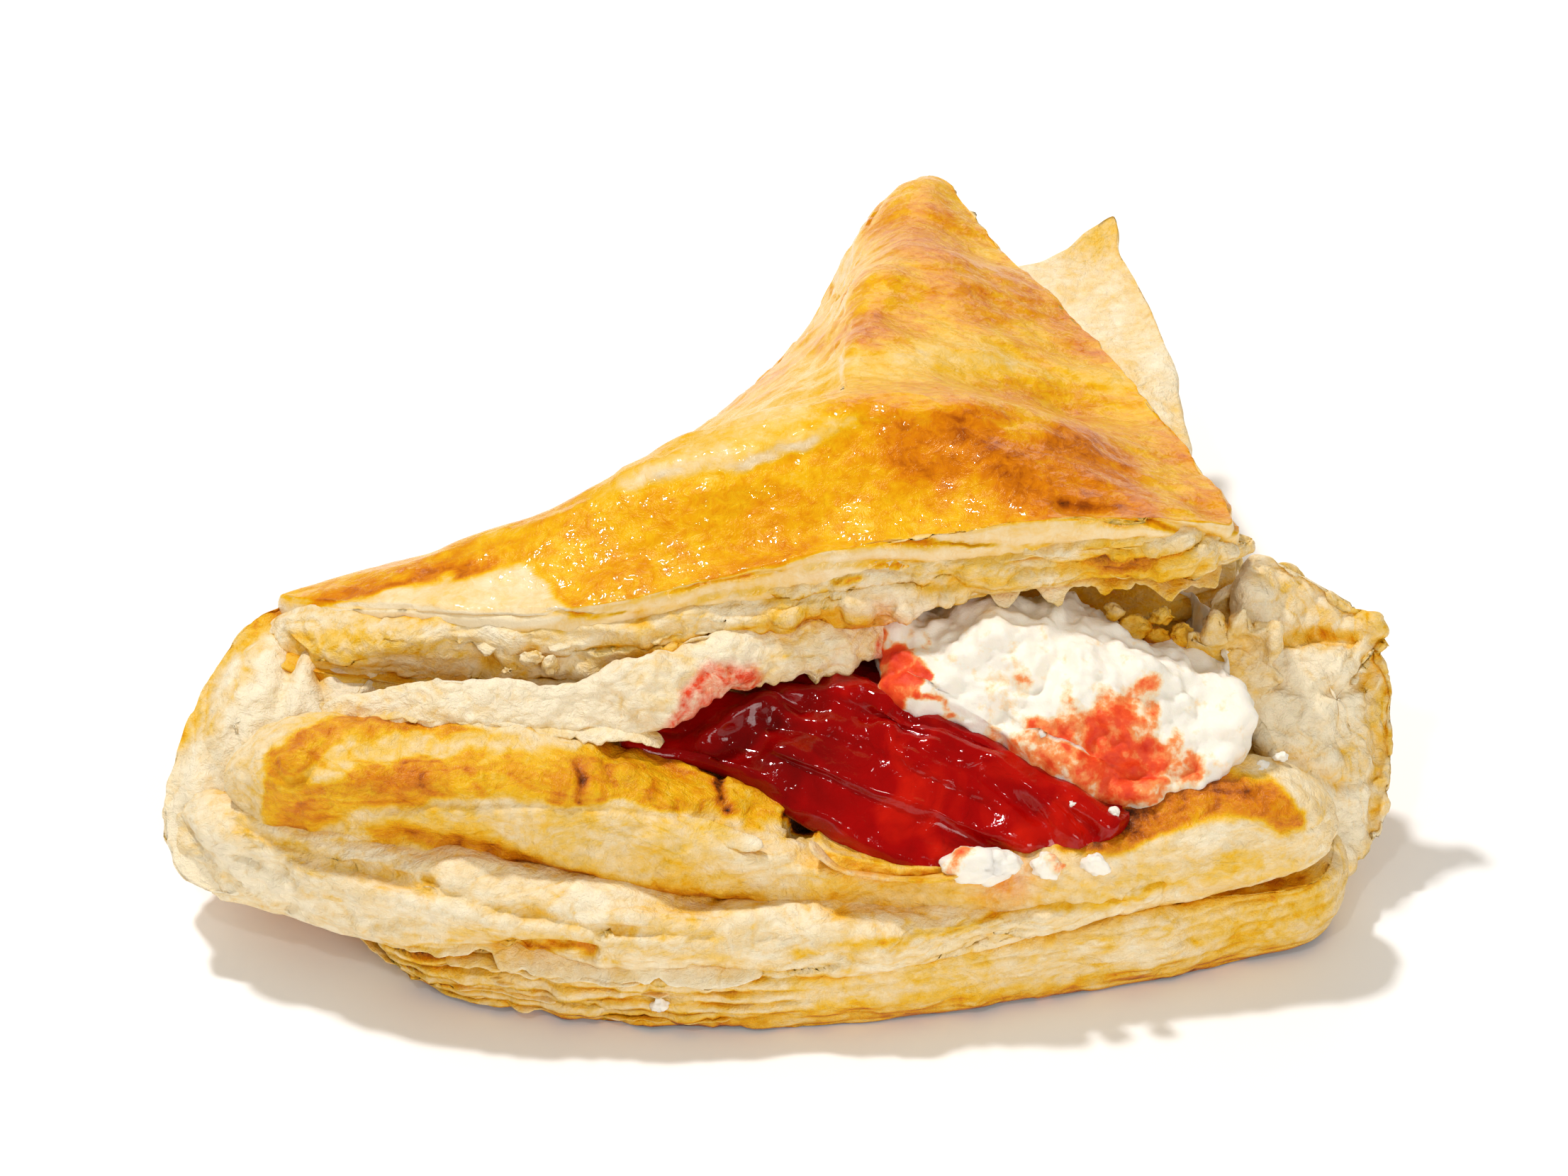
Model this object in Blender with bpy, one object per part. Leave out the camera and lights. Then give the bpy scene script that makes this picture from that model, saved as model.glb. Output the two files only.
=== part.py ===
# Turnover pastry: a folded puff-pastry triangle that gapes along its front, with jam and soft cheese inside.
# The dough is leaves and rolled folds joined into one solid. +X is right, +Y goes to the apex, +Z is up.
import math

import bmesh
import bpy
import numpy as np
from mathutils import Vector, noise

# Sizes below are in millimetres
MM = 0.001

# Driving dimensions
LENGTH = 130.0  # left corner to right corner
DEPTH = 116.0  # front edge to apex
HEIGHT = 46.5  # crest of the lid above the table
SLAB = 7.5  # thickness of the bottom slab
LID = 20.0  # thickness of the lid where it domes over the filling
FIT = 0.35  # gap between the fillings and the dough around them

# Places worked out from them
LEFT = -LENGTH / 2
RIGHT = LENGTH / 2
FRONT = -DEPTH / 2
APEX = DEPTH / 2
MOUTH = FRONT + 27.0  # the lid's front edge, behind the bottom slab's

# Mesh fineness: points round a leaf's rim, rings from its rim to its centre, rings over its thickness
RIM_POINTS = 44
CAP_RINGS = 4
LAYERS = 5
FLAKE = 0.7  # how far one layer stands out past the next
LAYER_REACH = 7.0  # how far along a rim a layer keeps its place
LAYER_SPREAD = 9.0  # how unlike the layers at one place of a rim are
SQUARE = 0.8  # a roll's section: 1 is an ellipse, and less is squarer
BLUNT = 7  # a roll's ends: more is blunter


def clear_scene():
    for thing in list(bpy.data.objects):
        bpy.data.objects.remove(thing, do_unlink=True)


def collection(name):
    made = bpy.data.collections.new(name)
    bpy.context.scene.collection.children.link(made)
    return made


def material(name, colour, roughness):
    made = bpy.data.materials.new(name)
    made.use_nodes = True
    shader = made.node_tree.nodes["Principled BSDF"]
    shader.inputs["Base Color"].default_value = (*colour, 1.0)
    shader.inputs["Roughness"].default_value = roughness
    shader.inputs["Metallic"].default_value = 0.0
    return made


def smooth_line(points, count, closed):
    # A curve through the points, sampled evenly by length
    points = np.array(points, float)
    n = len(points)
    spans = n if closed else n - 1
    dense = []
    for i in range(spans):
        if closed:
            a, b, c, d = (points[(i + k) % n] for k in (-1, 0, 1, 2))
        else:
            a, b, c, d = (points[min(max(i + k, 0), n - 1)] for k in (-1, 0, 1, 2))
        for t in np.linspace(0.0, 1.0, 16, endpoint=False):
            dense.append(
                0.5
                * (
                    2 * b
                    + (c - a) * t
                    + (2 * a - 5 * b + 4 * c - d) * t * t
                    + (3 * b - 3 * c + d - a) * t**3
                )
            )
    dense.append(points[0] if closed else points[-1])
    dense = np.array(dense)
    steps = np.linalg.norm(np.diff(dense[:, :3], axis=0), axis=1)
    along = np.concatenate([[0.0], np.cumsum(steps)])
    wanted = np.linspace(0.0, along[-1], count, endpoint=not closed)
    return np.stack([np.interp(wanted, along, column) for column in dense.T], axis=1)


def ease(t):
    t = min(max(t, 0.0), 1.0)
    return t * t * (3 - 2 * t)


def wave(x, y, z, reach, seed):
    # Smooth unevenness from -1 to 1, the same each run
    return noise.noise(Vector((x / reach + 17.3 * seed, y / reach, z / reach + 5.1 * seed)))


def ball(name, segments, rings, place, group):
    # A UV sphere whose points are moved to place(longitude number, latitude number).
    # The quarter keeps one longitude's points together where its number falls on a half.
    mesh = bpy.data.meshes.new(name)
    bm = bmesh.new()
    bmesh.ops.create_uvsphere(bm, u_segments=segments, v_segments=rings, radius=1.0)
    bmesh.ops.triangulate(bm, faces=bm.faces[:], quad_method="FIXED")
    for v in bm.verts:
        turn = math.atan2(v.co.y, v.co.x) / math.tau * segments
        rise = (math.asin(max(-1.0, min(1.0, v.co.z))) / math.pi + 0.5) * rings
        v.co = Vector(place(round(turn - 0.25) % segments, round(rise))) * MM
    bm.to_mesh(mesh)
    bm.free()
    thing = bpy.data.objects.new(name, mesh)
    group.objects.link(thing)
    return thing


def outward(line, centre):
    # The way out of a closed rim at each of its points, level with the table
    ahead = np.roll(line, -1, axis=0) - np.roll(line, 1, axis=0)
    across = np.stack([ahead[:, 1], -ahead[:, 0]], axis=1)
    across /= np.linalg.norm(across, axis=1)[:, None] + 1e-9
    facing = np.sign(np.sum(across * (line[:, :2] - centre[:2]), axis=1))
    return across * facing[:, None]


def leaf(
    name,
    group,
    rim,
    centre,
    up=(0, 0, 1),
    crown=1.6,
    layers=LAYERS,
    flake=FLAKE,
    lumps=(14.0, 0.5),
    bumps=(),
    points=RIM_POINTS,
    grow=0.0,
    seed=1,
):
    # A sheet of dough. rim is a closed line of (x, y, z, thickness) and centre is one such point.
    # crown sets how fast the sheet rises from rim to centre. lumps are the reach and height of its
    # unevenness, and bumps are single swellings of (x, y, reach, height) on its upper side.
    # grow makes the whole sheet larger all round, for a cutter.
    line = smooth_line(rim, points, closed=True)
    centre = np.array(centre, float)
    out = outward(line, centre)
    up = np.array(up, float) / np.linalg.norm(up)
    rings = 2 * CAP_RINGS + layers - 1
    half = rings / 2

    def place(turn, rise):
        side = min(max((rise - half) / (layers - 1) * 2, -1.0), 1.0)
        cap = max(abs(rise - half) - (layers - 1) / 2, 0.0)
        reach = 1.0 - cap / CAP_RINGS
        edge = line[turn]
        mid = centre[:3] + (edge[:3] - centre[:3]) * reach
        mid[2] = centre[2] + (edge[2] - centre[2]) * reach**crown
        thick = centre[3] + (edge[3] - centre[3]) * ease(reach * 1.15 - 0.15)
        point = mid + up * side * thick / 2
        if cap < 1.0:
            step = 2.2 * wave(edge[0], edge[1], LAYER_SPREAD * side, LAYER_REACH, seed)
            point[:2] += out[turn] * (flake * (step - 0.5 * side * side) + grow)
        for bx, by, spread, height in bumps:
            if side > 0.5:
                gap = math.hypot(point[0] - bx, point[1] - by) / spread
                point[2] += height * math.exp(-gap * gap)
        lump = min(lumps[1], thick / 6) * wave(point[0], point[1], 0.0, lumps[0], seed + 3)
        point += up * (lump * (0.65 + 0.35 * side) + side * grow)
        point[2] = max(point[2], 0.0)
        return point

    return ball(name, points, rings, place, group)


def roll(name, group, spine, around=12, along=26, rough=0.45, seed=1):
    # A rolled fold of dough. spine is an open line of (x, y, z, half height, half depth, tilt in degrees).
    line = smooth_line(spine, along + 1, closed=False)
    ahead = np.gradient(line[:, :3], axis=0)

    def place(turn, rise):
        x, y, z, tall, deep, tilt = line[rise]
        forward = Vector(ahead[rise]).normalized()
        across = forward.cross(Vector((0, 0, 1))).normalized()
        above = across.cross(forward).normalized()
        angle = turn / around * math.tau
        lean = math.radians(tilt)
        share = rise / along
        swell = (1 - abs(2 * share - 1) ** BLUNT) ** 0.5
        u = math.copysign(abs(math.cos(angle)) ** SQUARE, math.cos(angle)) * deep * swell
        w = math.copysign(abs(math.sin(angle)) ** SQUARE, math.sin(angle)) * tall * swell
        side = u * math.cos(lean) - w * math.sin(lean)
        lift = u * math.sin(lean) + w * math.cos(lean)
        point = Vector((x, y, z)) + across * side + above * lift
        point += Vector((0, side, lift)).normalized() * rough * wave(*point, 6.0, seed) * swell
        point.z = max(point.z, 0.0)
        return point

    return ball(name, around, along, place, group)


def slab_leaves(group):
    # The bottom slab lies flat but for its left corner, which lifts off the table
    leaf(
        "slab",
        group,
        rim=[
            (-52, -44, 10.5, 6),
            (-45, -46.5, 9, 6),
            (-37, -52, 4.6, 7),
            (-27, -55, 3.9, SLAB),
            (-12, FRONT + 0.7, 3.7, SLAB),
            (6, FRONT + 0.7, 3.7, SLAB),
            (26, -53, 4.1, 8),
            (44, -48, 4.4, 8.5),
            (56, -43.5, 4.3, 8),
            (58, -30, 4.3, 8.6),
            (55, -10, 4.3, 8.8),
            (48, 14, 4.3, 8.8),
            (40, 36, 4.3, 8.8),
            (25, 55, 4.3, 8.8),
            (13, 56, 4.3, 8.8),
            (-4, 40, 4.4, 8.8),
            (-20, 18, 4.6, 8.6),
            (-38, -6, 6, 8),
            (-53, -24, 8.5, 8),
            (-59, -36, 10.5, 8),
        ],
        centre=(2, -8, 3.6, 9),
        layers=7,
        seed=2,
    )
    leaf(
        "slab_upper",
        group,
        rim=[
            (-52, -38, 14.5, 8),
            (-28, -44, 12, 8),
            (0, -47, 10, 7),
            (28, -43, 11, 7),
            (47, -38, 12, 8),
            (55, -22, 12, 8),
            (51, -2, 12, 8),
            (46, 16, 12, 8),
            (39, 36, 12, 8),
            (26, 55, 11, 8),
            (13, 54, 11, 8),
            (-2, 36, 10, 8),
            (-18, 12, 10, 9),
            (-38, -8, 12, 9),
            (-54, -25, 15, 9),
        ],
        centre=(2, -8, 12, 9),
        points=36,
        seed=3,
    )
    leaf(
        "middle",
        group,
        rim=[
            (-52, -28, 20, 9),
            (-30, -33, 20, 9),
            (-8, -27, 19.5, 9),
            (15, -22, 20, 9),
            (35, -20, 20, 9),
            (48, -12, 21, 8),
            (45, 4, 20, 8),
            (42.5, 18, 19.5, 8),
            (38, 34, 18.5, 8),
            (27, 53, 18, 8),
            (15, 53, 18, 9),
            (3, 32, 17, 9),
            (-10, 10, 17, 9),
            (-30, -10, 18, 9),
            (-47, -20, 19, 8),
        ],
        centre=(10, 2, 21, 11),
        points=36,
        seed=4,
    )


def lid_leaves(group):
    # The lid is highest behind its front edge and falls to the fold at its back left
    leaf(
        "lid",
        group,
        rim=[
            (-52.5, -19, 24, 6),
            (-45, -25, 27.5, 6),
            (-30, -30, 30.5, 5.5),
            (-18, MOUTH - 1, 32, 5.5),
            (-5, MOUTH + 0.5, 34.5, 6),
            (8, MOUTH + 2, 37, 5.5),
            (22, MOUTH + 2.5, 39.5, 4.5),
            (34, MOUTH + 3, 40.5, 4),
            (41.5, -26, 38.5, 4),
            (46.3, -22, 36, 4.5),
            (43.5, -8, 34, 6),
            (38.5, 8, 32.5, 6),
            (33.5, 22, 31, 6),
            (26.5, 38, 29.5, 6),
            (21.5, 52, 28.5, 6),
            (17, APEX, 27.5, 7),
            (10, 57, 22, 11),
            (4, 49, 14, 13),
            (-4, 39, 9, 13),
            (-13, 26, 8.5, 13),
            (-23, 12.5, 8.5, 12),
            (-36, -3, 13, 12),
            (-47, -12.5, 19.5, 9),
        ],
        centre=(6, -9, HEIGHT - LID / 2, LID),
        crown=1.3,
        flake=0.5,
        seed=5,
        bumps=[
            (-21, -9, 13, -2.0),
            (-33, -14, 11, -2.5),
            (8, 8, 9, -1.5),
            (20, 28, 9, 1.8),
            (14, 52, 7, 2.0),
            (28, -18, 12, 1.5),
        ],
    )
    roll(
        "lip",
        group,
        spine=[
            (-56, -20, 23, 3.5, 4, 0),
            (-44, -26.5, 26.5, 4, 5, 0),
            (-30, -29.5, 28, 4, 5, 0),
            (-18, -29.5, 29, 4, 5, 0),
            (-5, -27.5, 31, 4, 5, 0),
            (8, -25.5, 33.5, 4, 5, 0),
            (20, -24.5, 36, 3.5, 5, 0),
            (32, -24, 37, 3, 5, 0),
            (42, -22, 35.5, 3, 4, 0),
            (49, -18, 33, 2.5, 3, 0),
        ],
        seed=6,
    )


def front_folds(group):
    # The rim of the lower dough is rolled: a fat roll on top, a lower pleat under it and a tongue behind it
    roll(
        "rim_roll",
        group,
        spine=[
            (-53.5, -41.5, 19.5, 4, 4, 0),
            (-46, -43, 20, 6, 6, 0),
            (-34, -43.5, 20, 6, 6.5, 0),
            (-22, -44, 19, 5.8, 6.5, 0),
            (-10, -46, 16.5, 5, 6, 0),
            (3, -47.5, 13.5, 4.5, 5.5, 0),
            (16, -47.5, 12.5, 4.2, 5, 0),
            (28, -45.5, 13, 4.5, 5.5, 0),
            (40, -43, 14, 5, 6, 0),
            (50, -40.5, 14.5, 4.8, 6, 0),
            (56, -38.5, 14, 3.5, 4, 0),
        ],
        seed=7,
    )
    roll(
        "pleat",
        group,
        spine=[
            (-58, -39, 13.5, 4, 5, 0),
            (-50, -44.5, 13, 5.5, 5, 0),
            (-40, -48, 12.5, 5.5, 5, 0),
            (-28, -51, 11.5, 4.5, 5, 0),
            (-12, -53, 10.2, 3.5, 4.5, 0),
            (3, -53, 9.8, 3, 4, 0),
            (18, -51, 10, 2.6, 4, 0),
            (32, -47.5, 11, 2.2, 3.5, 0),
            (43, -44, 12, 2, 3, 0),
        ],
        seed=8,
    )
    roll(
        "tongue",
        group,
        spine=[
            (-48, -34, 23.5, 1.8, 3.5, -35),
            (-36, -36, 25.5, 1.8, 4, -35),
            (-22, -36.5, 25.2, 1.8, 4.5, -38),
            (-8, -33, 24.6, 1.8, 6, -50),
            (3, -29.5, 26, 1.8, 4.5, -50),
            (13, -26.5, 27.5, 1.6, 3, -45),
        ],
        along=20,
        seed=9,
    )
    roll(
        "left_fold",
        group,
        spine=[
            (LEFT + 20.5, -14, 18, 4.5, 4.5, 0),
            (LEFT + 14.5, -24, 18, 5.5, 5.5, 0),
            (LEFT + 8.7, -34, 15.5, 6.5, 6, 0),
            (LEFT + 7.5, -40.5, 13, 5, 6, 0),
            (LEFT + 15, -43.5, 12, 4, 5, 0),
        ],
        along=16,
        seed=10,
    )


def loose_leaves(group):
    # Leaves that stand away from the body: a flap at the right corner and a pointed one beside the apex
    leaf(
        "right_flap",
        group,
        rim=[
            (48, -17, 29.5, 2.5),
            (56, -18, 27, 2.5),
            (RIGHT - 3, -20.5, 23.2, 2.5),
            (RIGHT - 3.4, -21.5, 21, 2.5),
            (RIGHT - 1.5, -22.5, 17, 2.5),
            (RIGHT - 2, -28, 10, 2.5),
            (RIGHT - 3.5, -33, 5.5, 2.5),
            (57, -38, 4, 2.5),
            (54, -39, 7, 2.5),
            (50, -34, 15, 2.5),
            (47, -28, 21, 2.5),
        ],
        centre=(56, -25, 17, 5),
        up=(0.35, -0.6, 0.7),
        crown=1.0,
        flake=0.3,
        points=36,
        seed=11,
    )
    leaf(
        "flap_root",
        group,
        rim=[
            (44, -20, 24, 6),
            (52, -14, 25, 6),
            (56, -16, 21, 6),
            (58, -24, 14, 7),
            (57, -32, 9, 7),
            (50, -32, 14, 6),
            (44, -26, 20, 6),
        ],
        centre=(51, -22, 18, 10),
        points=24,
        seed=12,
    )
    leaf(
        "torn_leaf",
        group,
        rim=[
            (41.5, -27, 24, 1.5),
            (42.5, -26.5, 28.5, 1.5),
            (46, -26, 30, 1.5),
            (49.5, -26.5, 28, 1.5),
            (50.5, -28, 24, 1.5),
            (47, -29, 20, 1.5),
        ],
        centre=(46, -26.5, 25.5, 2),
        up=(0, -1, 0.3),
        flake=0.3,
        points=20,
        seed=14,
    )
    leaf(
        "back_point",
        group,
        rim=[
            (37.7, 51, 30.6, 1.6),
            (38.6, 45, 28.5, 2),
            (41.5, 36, 27, 2.2),
            (43, 29, 25.5, 2.4),
            (44, 18, 23.5, 2.5),
            (43, 8, 23, 2.5),
            (30, 6, 23, 3),
            (20, 25, 24, 3),
            (22, 42, 25.5, 3),
            (31, 46, 27.5, 2.2),
        ],
        centre=(33, 27, 25, 3.5),
        crown=1.0,
        flake=0.3,
        points=36,
        seed=13,
    )


def jam_form(name, group, grow=0.0):
    return leaf(
        name,
        group,
        rim=[
            (-16, -39.5, 22.5, 2.5),
            (-7, -42.5, 19.8, 3),
            (2, -48.5, 17, 3.5),
            (11, -51, 15, 3.5),
            (21, -51, 14.5, 3.5),
            (29, -50.5, 14.5, 3),
            (35, -46, 17, 3),
            (38, -38, 18.5, 4),
            (36, -20, 20, 5),
            (25, -2, 20, 5),
            (5, 5, 20, 5),
            (-10, -6, 20, 5),
            (-16, -22, 21, 5),
            (-17.5, -33, 22.5, 4),
        ],
        centre=(8, -29, 20, 10),
        flake=0.3,
        lumps=(7.0, 1.4),
        bumps=[(-2, -37, 6, 1.4), (14, -44, 5, 1.0)],
        grow=grow,
        seed=20,
    )


def cheese_form(name, group, grow=0.0):
    return leaf(
        name,
        group,
        rim=[
            (10, -33, 26, 4),
            (17, -38, 24, 5),
            (26, -41.5, 21.5, 5),
            (36, -44, 19.5, 4),
            (43, -42.5, 20, 4),
            (46.5, -38, 22.5, 5),
            (46, -31, 25, 5),
            (44, -20, 24, 6),
            (37, -5, 24, 6),
            (25, 4, 24, 6),
            (14, -8, 25, 6),
            (12, -22, 26.5, 6),
        ],
        centre=(28, -31, 25.5, 12.5),
        crown=2.2,
        flake=0.6,
        lumps=(5.0, 1.5),
        grow=grow,
        seed=21,
    )


def freeze(thing):
    # Keeps the evaluated mesh and drops the modifiers
    seen = thing.evaluated_get(bpy.context.evaluated_depsgraph_get())
    mesh = bpy.data.meshes.new_from_object(seen)
    thing.modifiers.clear()
    thing.data = mesh


def keep_largest(thing):
    # Loose scraps that a Boolean leaves are dropped
    bm = bmesh.new()
    bm.from_mesh(thing.data)
    unseen = set(bm.verts)
    islands = []
    while unseen:
        island = {unseen.pop()}
        front = list(island)
        while front:
            v = front.pop()
            for e in v.link_edges:
                w = e.other_vert(v)
                if w in unseen:
                    unseen.discard(w)
                    island.add(w)
                    front.append(w)
        islands.append(island)
    islands.sort(key=len)
    scraps = [v for island in islands[:-1] for v in island]
    bmesh.ops.delete(bm, geom=scraps, context="VERTS")
    bm.to_mesh(thing.data)
    bm.free()


def join_leaves(name, group, target):
    # One union of every leaf and fold in the group
    first = group.objects[0]
    group.objects.unlink(first)
    target.objects.link(first)
    first.name = name
    union = first.modifiers.new("union", "BOOLEAN")
    union.operation = "UNION"
    union.operand_type = "COLLECTION"
    union.collection = group
    union.solver = "EXACT"
    bpy.context.view_layer.update()
    freeze(first)
    for other in list(group.objects):
        bpy.data.objects.remove(other, do_unlink=True)
    return first


def cut(thing, room):
    # Takes a filling's room out of the thing
    taken = thing.modifiers.new("cut", "BOOLEAN")
    taken.operation = "DIFFERENCE"
    taken.object = room
    taken.solver = "EXACT"
    bpy.context.view_layer.update()
    freeze(thing)


def main():
    clear_scene()
    turnover = collection("turnover_pastry")
    leaves = collection("dough_leaves")
    cutters = collection("cutters")

    slab_leaves(leaves)
    lid_leaves(leaves)
    front_folds(leaves)
    loose_leaves(leaves)
    pastry = join_leaves("pastry", leaves, turnover)
    jam = jam_form("fruit_jam", turnover)
    cheese = cheese_form("soft_cheese", turnover)
    jam_room = jam_form("jam_room", cutters, grow=FIT)
    cheese_room = cheese_form("cheese_room", cutters, grow=FIT)
    for room in (jam_room, cheese_room):
        room.hide_render = True
        room.display_type = "WIRE"
        cut(pastry, room)
    cut(cheese, jam_room)

    looks = {
        pastry: material("baked_dough", (0.80, 0.55, 0.24), 0.55),
        jam: material("red_jam", (0.50, 0.01, 0.02), 0.15),
        cheese: material("white_cheese", (0.92, 0.87, 0.78), 0.6),
    }
    for thing, finish in looks.items():
        keep_largest(thing)
        thing.data.materials.clear()
        thing.data.materials.append(finish)
        thing.data.shade_smooth()
        thing.data.set_sharp_from_angle(angle=math.radians(45))


main()
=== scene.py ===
import math
from itertools import product

import bpy
import numpy as np
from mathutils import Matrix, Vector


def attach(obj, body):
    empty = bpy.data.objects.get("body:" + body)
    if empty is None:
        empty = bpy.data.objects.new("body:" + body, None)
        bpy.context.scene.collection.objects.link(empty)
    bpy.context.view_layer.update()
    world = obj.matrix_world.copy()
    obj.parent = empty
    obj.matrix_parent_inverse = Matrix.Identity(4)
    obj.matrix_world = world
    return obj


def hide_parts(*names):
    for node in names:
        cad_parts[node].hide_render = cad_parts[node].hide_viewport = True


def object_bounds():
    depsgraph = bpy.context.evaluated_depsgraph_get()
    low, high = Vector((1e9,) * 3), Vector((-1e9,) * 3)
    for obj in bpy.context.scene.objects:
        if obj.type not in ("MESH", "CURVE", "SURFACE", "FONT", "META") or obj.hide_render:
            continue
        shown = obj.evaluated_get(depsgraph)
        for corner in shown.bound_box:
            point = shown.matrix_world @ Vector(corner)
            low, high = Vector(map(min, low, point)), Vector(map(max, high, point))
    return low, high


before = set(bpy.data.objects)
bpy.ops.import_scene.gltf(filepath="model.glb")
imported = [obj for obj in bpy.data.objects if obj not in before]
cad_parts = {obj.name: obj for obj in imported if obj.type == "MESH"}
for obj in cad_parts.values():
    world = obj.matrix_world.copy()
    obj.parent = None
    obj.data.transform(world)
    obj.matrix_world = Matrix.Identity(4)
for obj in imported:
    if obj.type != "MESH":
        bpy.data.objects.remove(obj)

cadLow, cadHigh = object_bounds()

# Sizes and places below are in millimetres, in the frame's own axes
mm = 0.001
sameSpot = 0.001
boxMargin = 0.05
tiny = 1e-9
far = 1e9
spanSteps = 16  # steps of a curve between two of its points
lineSteps = 40  # steps of a whole line that a mark follows


# Numbers and curves

def smoothLine(points, count, closed=False):
    # a curve through the points, sampled evenly by length
    points = np.array(points, float)
    n = len(points)
    dense = []
    for i in range(n if closed else n - 1):
        if closed:
            a, b, c, d = (points[(i + k) % n] for k in (-1, 0, 1, 2))
        else:
            a, b, c, d = (points[min(max(i + k, 0), n - 1)] for k in (-1, 0, 1, 2))
        for t in np.linspace(0.0, 1.0, spanSteps, endpoint=False):
            bend = (2 * a - 5 * b + 4 * c - d) * t * t + (3 * b - 3 * c + d - a) * t**3
            dense.append(0.5 * (2 * b + (c - a) * t + bend))
    dense.append(points[0] if closed else points[-1])
    dense = np.array(dense)
    steps = np.linalg.norm(np.diff(dense[:, :3], axis=0), axis=1) + tiny
    along = np.concatenate([[0.0], np.cumsum(steps)])
    wanted = np.linspace(0.0, along[-1], count, endpoint=not closed)
    return np.stack([np.interp(wanted, along, column) for column in dense.T], axis=1)


def ease(t, low=0.0, high=1.0):
    t = np.clip((t - low) / (high - low), 0.0, 1.0)
    return t * t * (3 - 2 * t)


def unit(ways):
    return ways / (np.linalg.norm(ways, axis=-1, keepdims=True) + tiny)


latticeSize = 8192
latticeKeys = (73856093, 19349663, 83492791)
lattice = np.random.default_rng(7).uniform(-1.0, 1.0, latticeSize)


def grain(points, reach, seed):
    # smooth unevenness from -1 to 1 at each point; reach may differ along x, y and z
    cells = points / np.array(reach, float) + seed * 13.7
    low = np.floor(cells).astype(np.int64)
    t = cells - low
    t = t * t * t * (t * (6 * t - 15) + 10)
    total = np.zeros(len(points))
    for corner in product((0, 1), repeat=3):
        spot = (low + np.array(corner)) * latticeKeys
        key = spot[:, 0] ^ spot[:, 1] ^ spot[:, 2]
        share = np.prod(np.where(np.array(corner) == 1, t, 1 - t), axis=1)
        total += share * lattice[key % latticeSize]
    return total


def rough(points, reach, seed, octaves=3):
    # unevenness with finer unevenness on it
    reach = np.array(reach, float)
    total = np.zeros(len(points))
    for k in range(octaves):
        total += grain(points, reach / 2**k, seed + 11 * k) / 2**k
    return total


def gapTo(points, a, b):
    # how far each point is from the straight line between a and b
    way = b - a
    gap = points - a
    t = np.clip(gap @ way / (way @ way + tiny), 0.0, 1.0)
    return np.linalg.norm(gap - t[:, None] * way, axis=1)


def nearLine(points, line, width, flat=False):
    # 1 on the line, falling to 0 over the width; flat measures in plan only
    line = smoothLine(line, lineSteps)
    axes = 2 if flat else 3
    best = np.full(len(points), far)
    for a, b in zip(line[:-1, :axes], line[1:, :axes]):
        best = np.minimum(best, gapTo(points[:, :axes], a, b))
    return np.exp(-((best / width) ** 2))


def nearSpots(points, spots):
    # the sum of round marks, each (x, y, z, size, amount)
    total = np.zeros(len(points))
    for x, y, z, size, amount in spots:
        gap = np.linalg.norm(points - (x, y, z), axis=1) / size
        total += amount * np.exp(-gap * gap)
    return total


cameraLook = {"target": (0, 0, 14.5), "distance": 550, "elevation": 35, "lens": 116.6, "sensor": 36.0}
tilt = math.radians(cameraLook["elevation"])
toCamera = np.array((0, -math.cos(tilt), math.sin(tilt)))


def seenFrom(points):
    # where the camera sees each point: millimetres right of and above the picture's middle
    gap = points - cameraLook["target"]
    near = cameraLook["distance"] / (cameraLook["distance"] - gap @ toCamera)
    above = gap[:, 1] * math.sin(tilt) + gap[:, 2] * math.cos(tilt)
    return np.column_stack([gap[:, 0], above]) * near[:, None]


def insideOf(spots, outline, soft):
    # 1 inside a closed outline and 0 outside it, with a soft edge
    corners = np.array(outline, float)
    inside = np.zeros(len(spots), bool)
    best = np.full(len(spots), far)
    for a, b in zip(corners, np.roll(corners, -1, axis=0)):
        best = np.minimum(best, gapTo(spots, a, b))
        way, gap = b - a, spots - a
        crossed = (a[1] > spots[:, 1]) != (b[1] > spots[:, 1])
        inside ^= crossed & (gap[:, 0] < gap[:, 1] * way[0] / (way[1] or tiny))
    return ease(0.5 + np.where(inside, best, -best) / soft)


raggedReach = 3.0
raggedSeeds = (91, 92)


def marksOf(points, ways, look, ragged=0.55):
    # the sum of marks placed as the camera sees them: areas by outline, lines by middle and width
    spots = seenFrom(points)
    for k, seed in enumerate(raggedSeeds):
        spots[:, k] += ragged * rough(points, raggedReach, seed, 3)
    total = np.zeros(len(points))
    for outline, soft, amount in look.get("areas", ()):
        total += amount * insideOf(spots, outline, soft)
    for line, width, amount in look.get("lines", ()):
        total += amount * nearLine(spots, line, width, flat=True)
    return total * ease(ways @ toCamera, -0.3, 0.1)


# Meshes

def addWrap(name, around, rings):
    # a grid whose points are then wrapped by their place round it and up it
    bpy.ops.object.select_all(action="DESELECT")
    bpy.ops.mesh.primitive_grid_add(x_subdivisions=around, y_subdivisions=rings, size=2.0)
    piece = bpy.context.object
    piece.name = name
    piece.data.name = name
    x, y, z = pointsOf(piece, 1.0).T
    turn = np.rint((x + 1) / 2 * around).astype(int) % around
    rise = np.rint((y + 1) / 2 * rings).astype(int)
    return piece, turn, rise


def readMesh(piece, what):
    flat = np.empty(len(piece.data.vertices) * 3, np.float32)
    piece.data.vertices.foreach_get(what, flat)
    return flat.reshape(-1, 3).astype(float)


def pointsOf(piece, size=mm):
    return readMesh(piece, "co") / size


def waysOf(piece):
    # the way that the surface faces at each point
    return readMesh(piece, "normal")


def movePoints(piece, points):
    # nothing reaches outside the measured box, or below the table
    low = np.array(cadLow) / mm + (boxMargin, boxMargin, 0)
    points = np.clip(points, low, np.array(cadHigh) / mm - boxMargin)
    piece.data.vertices.foreach_set("co", (points * mm).astype(np.float32).ravel())
    piece.data.update()


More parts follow.
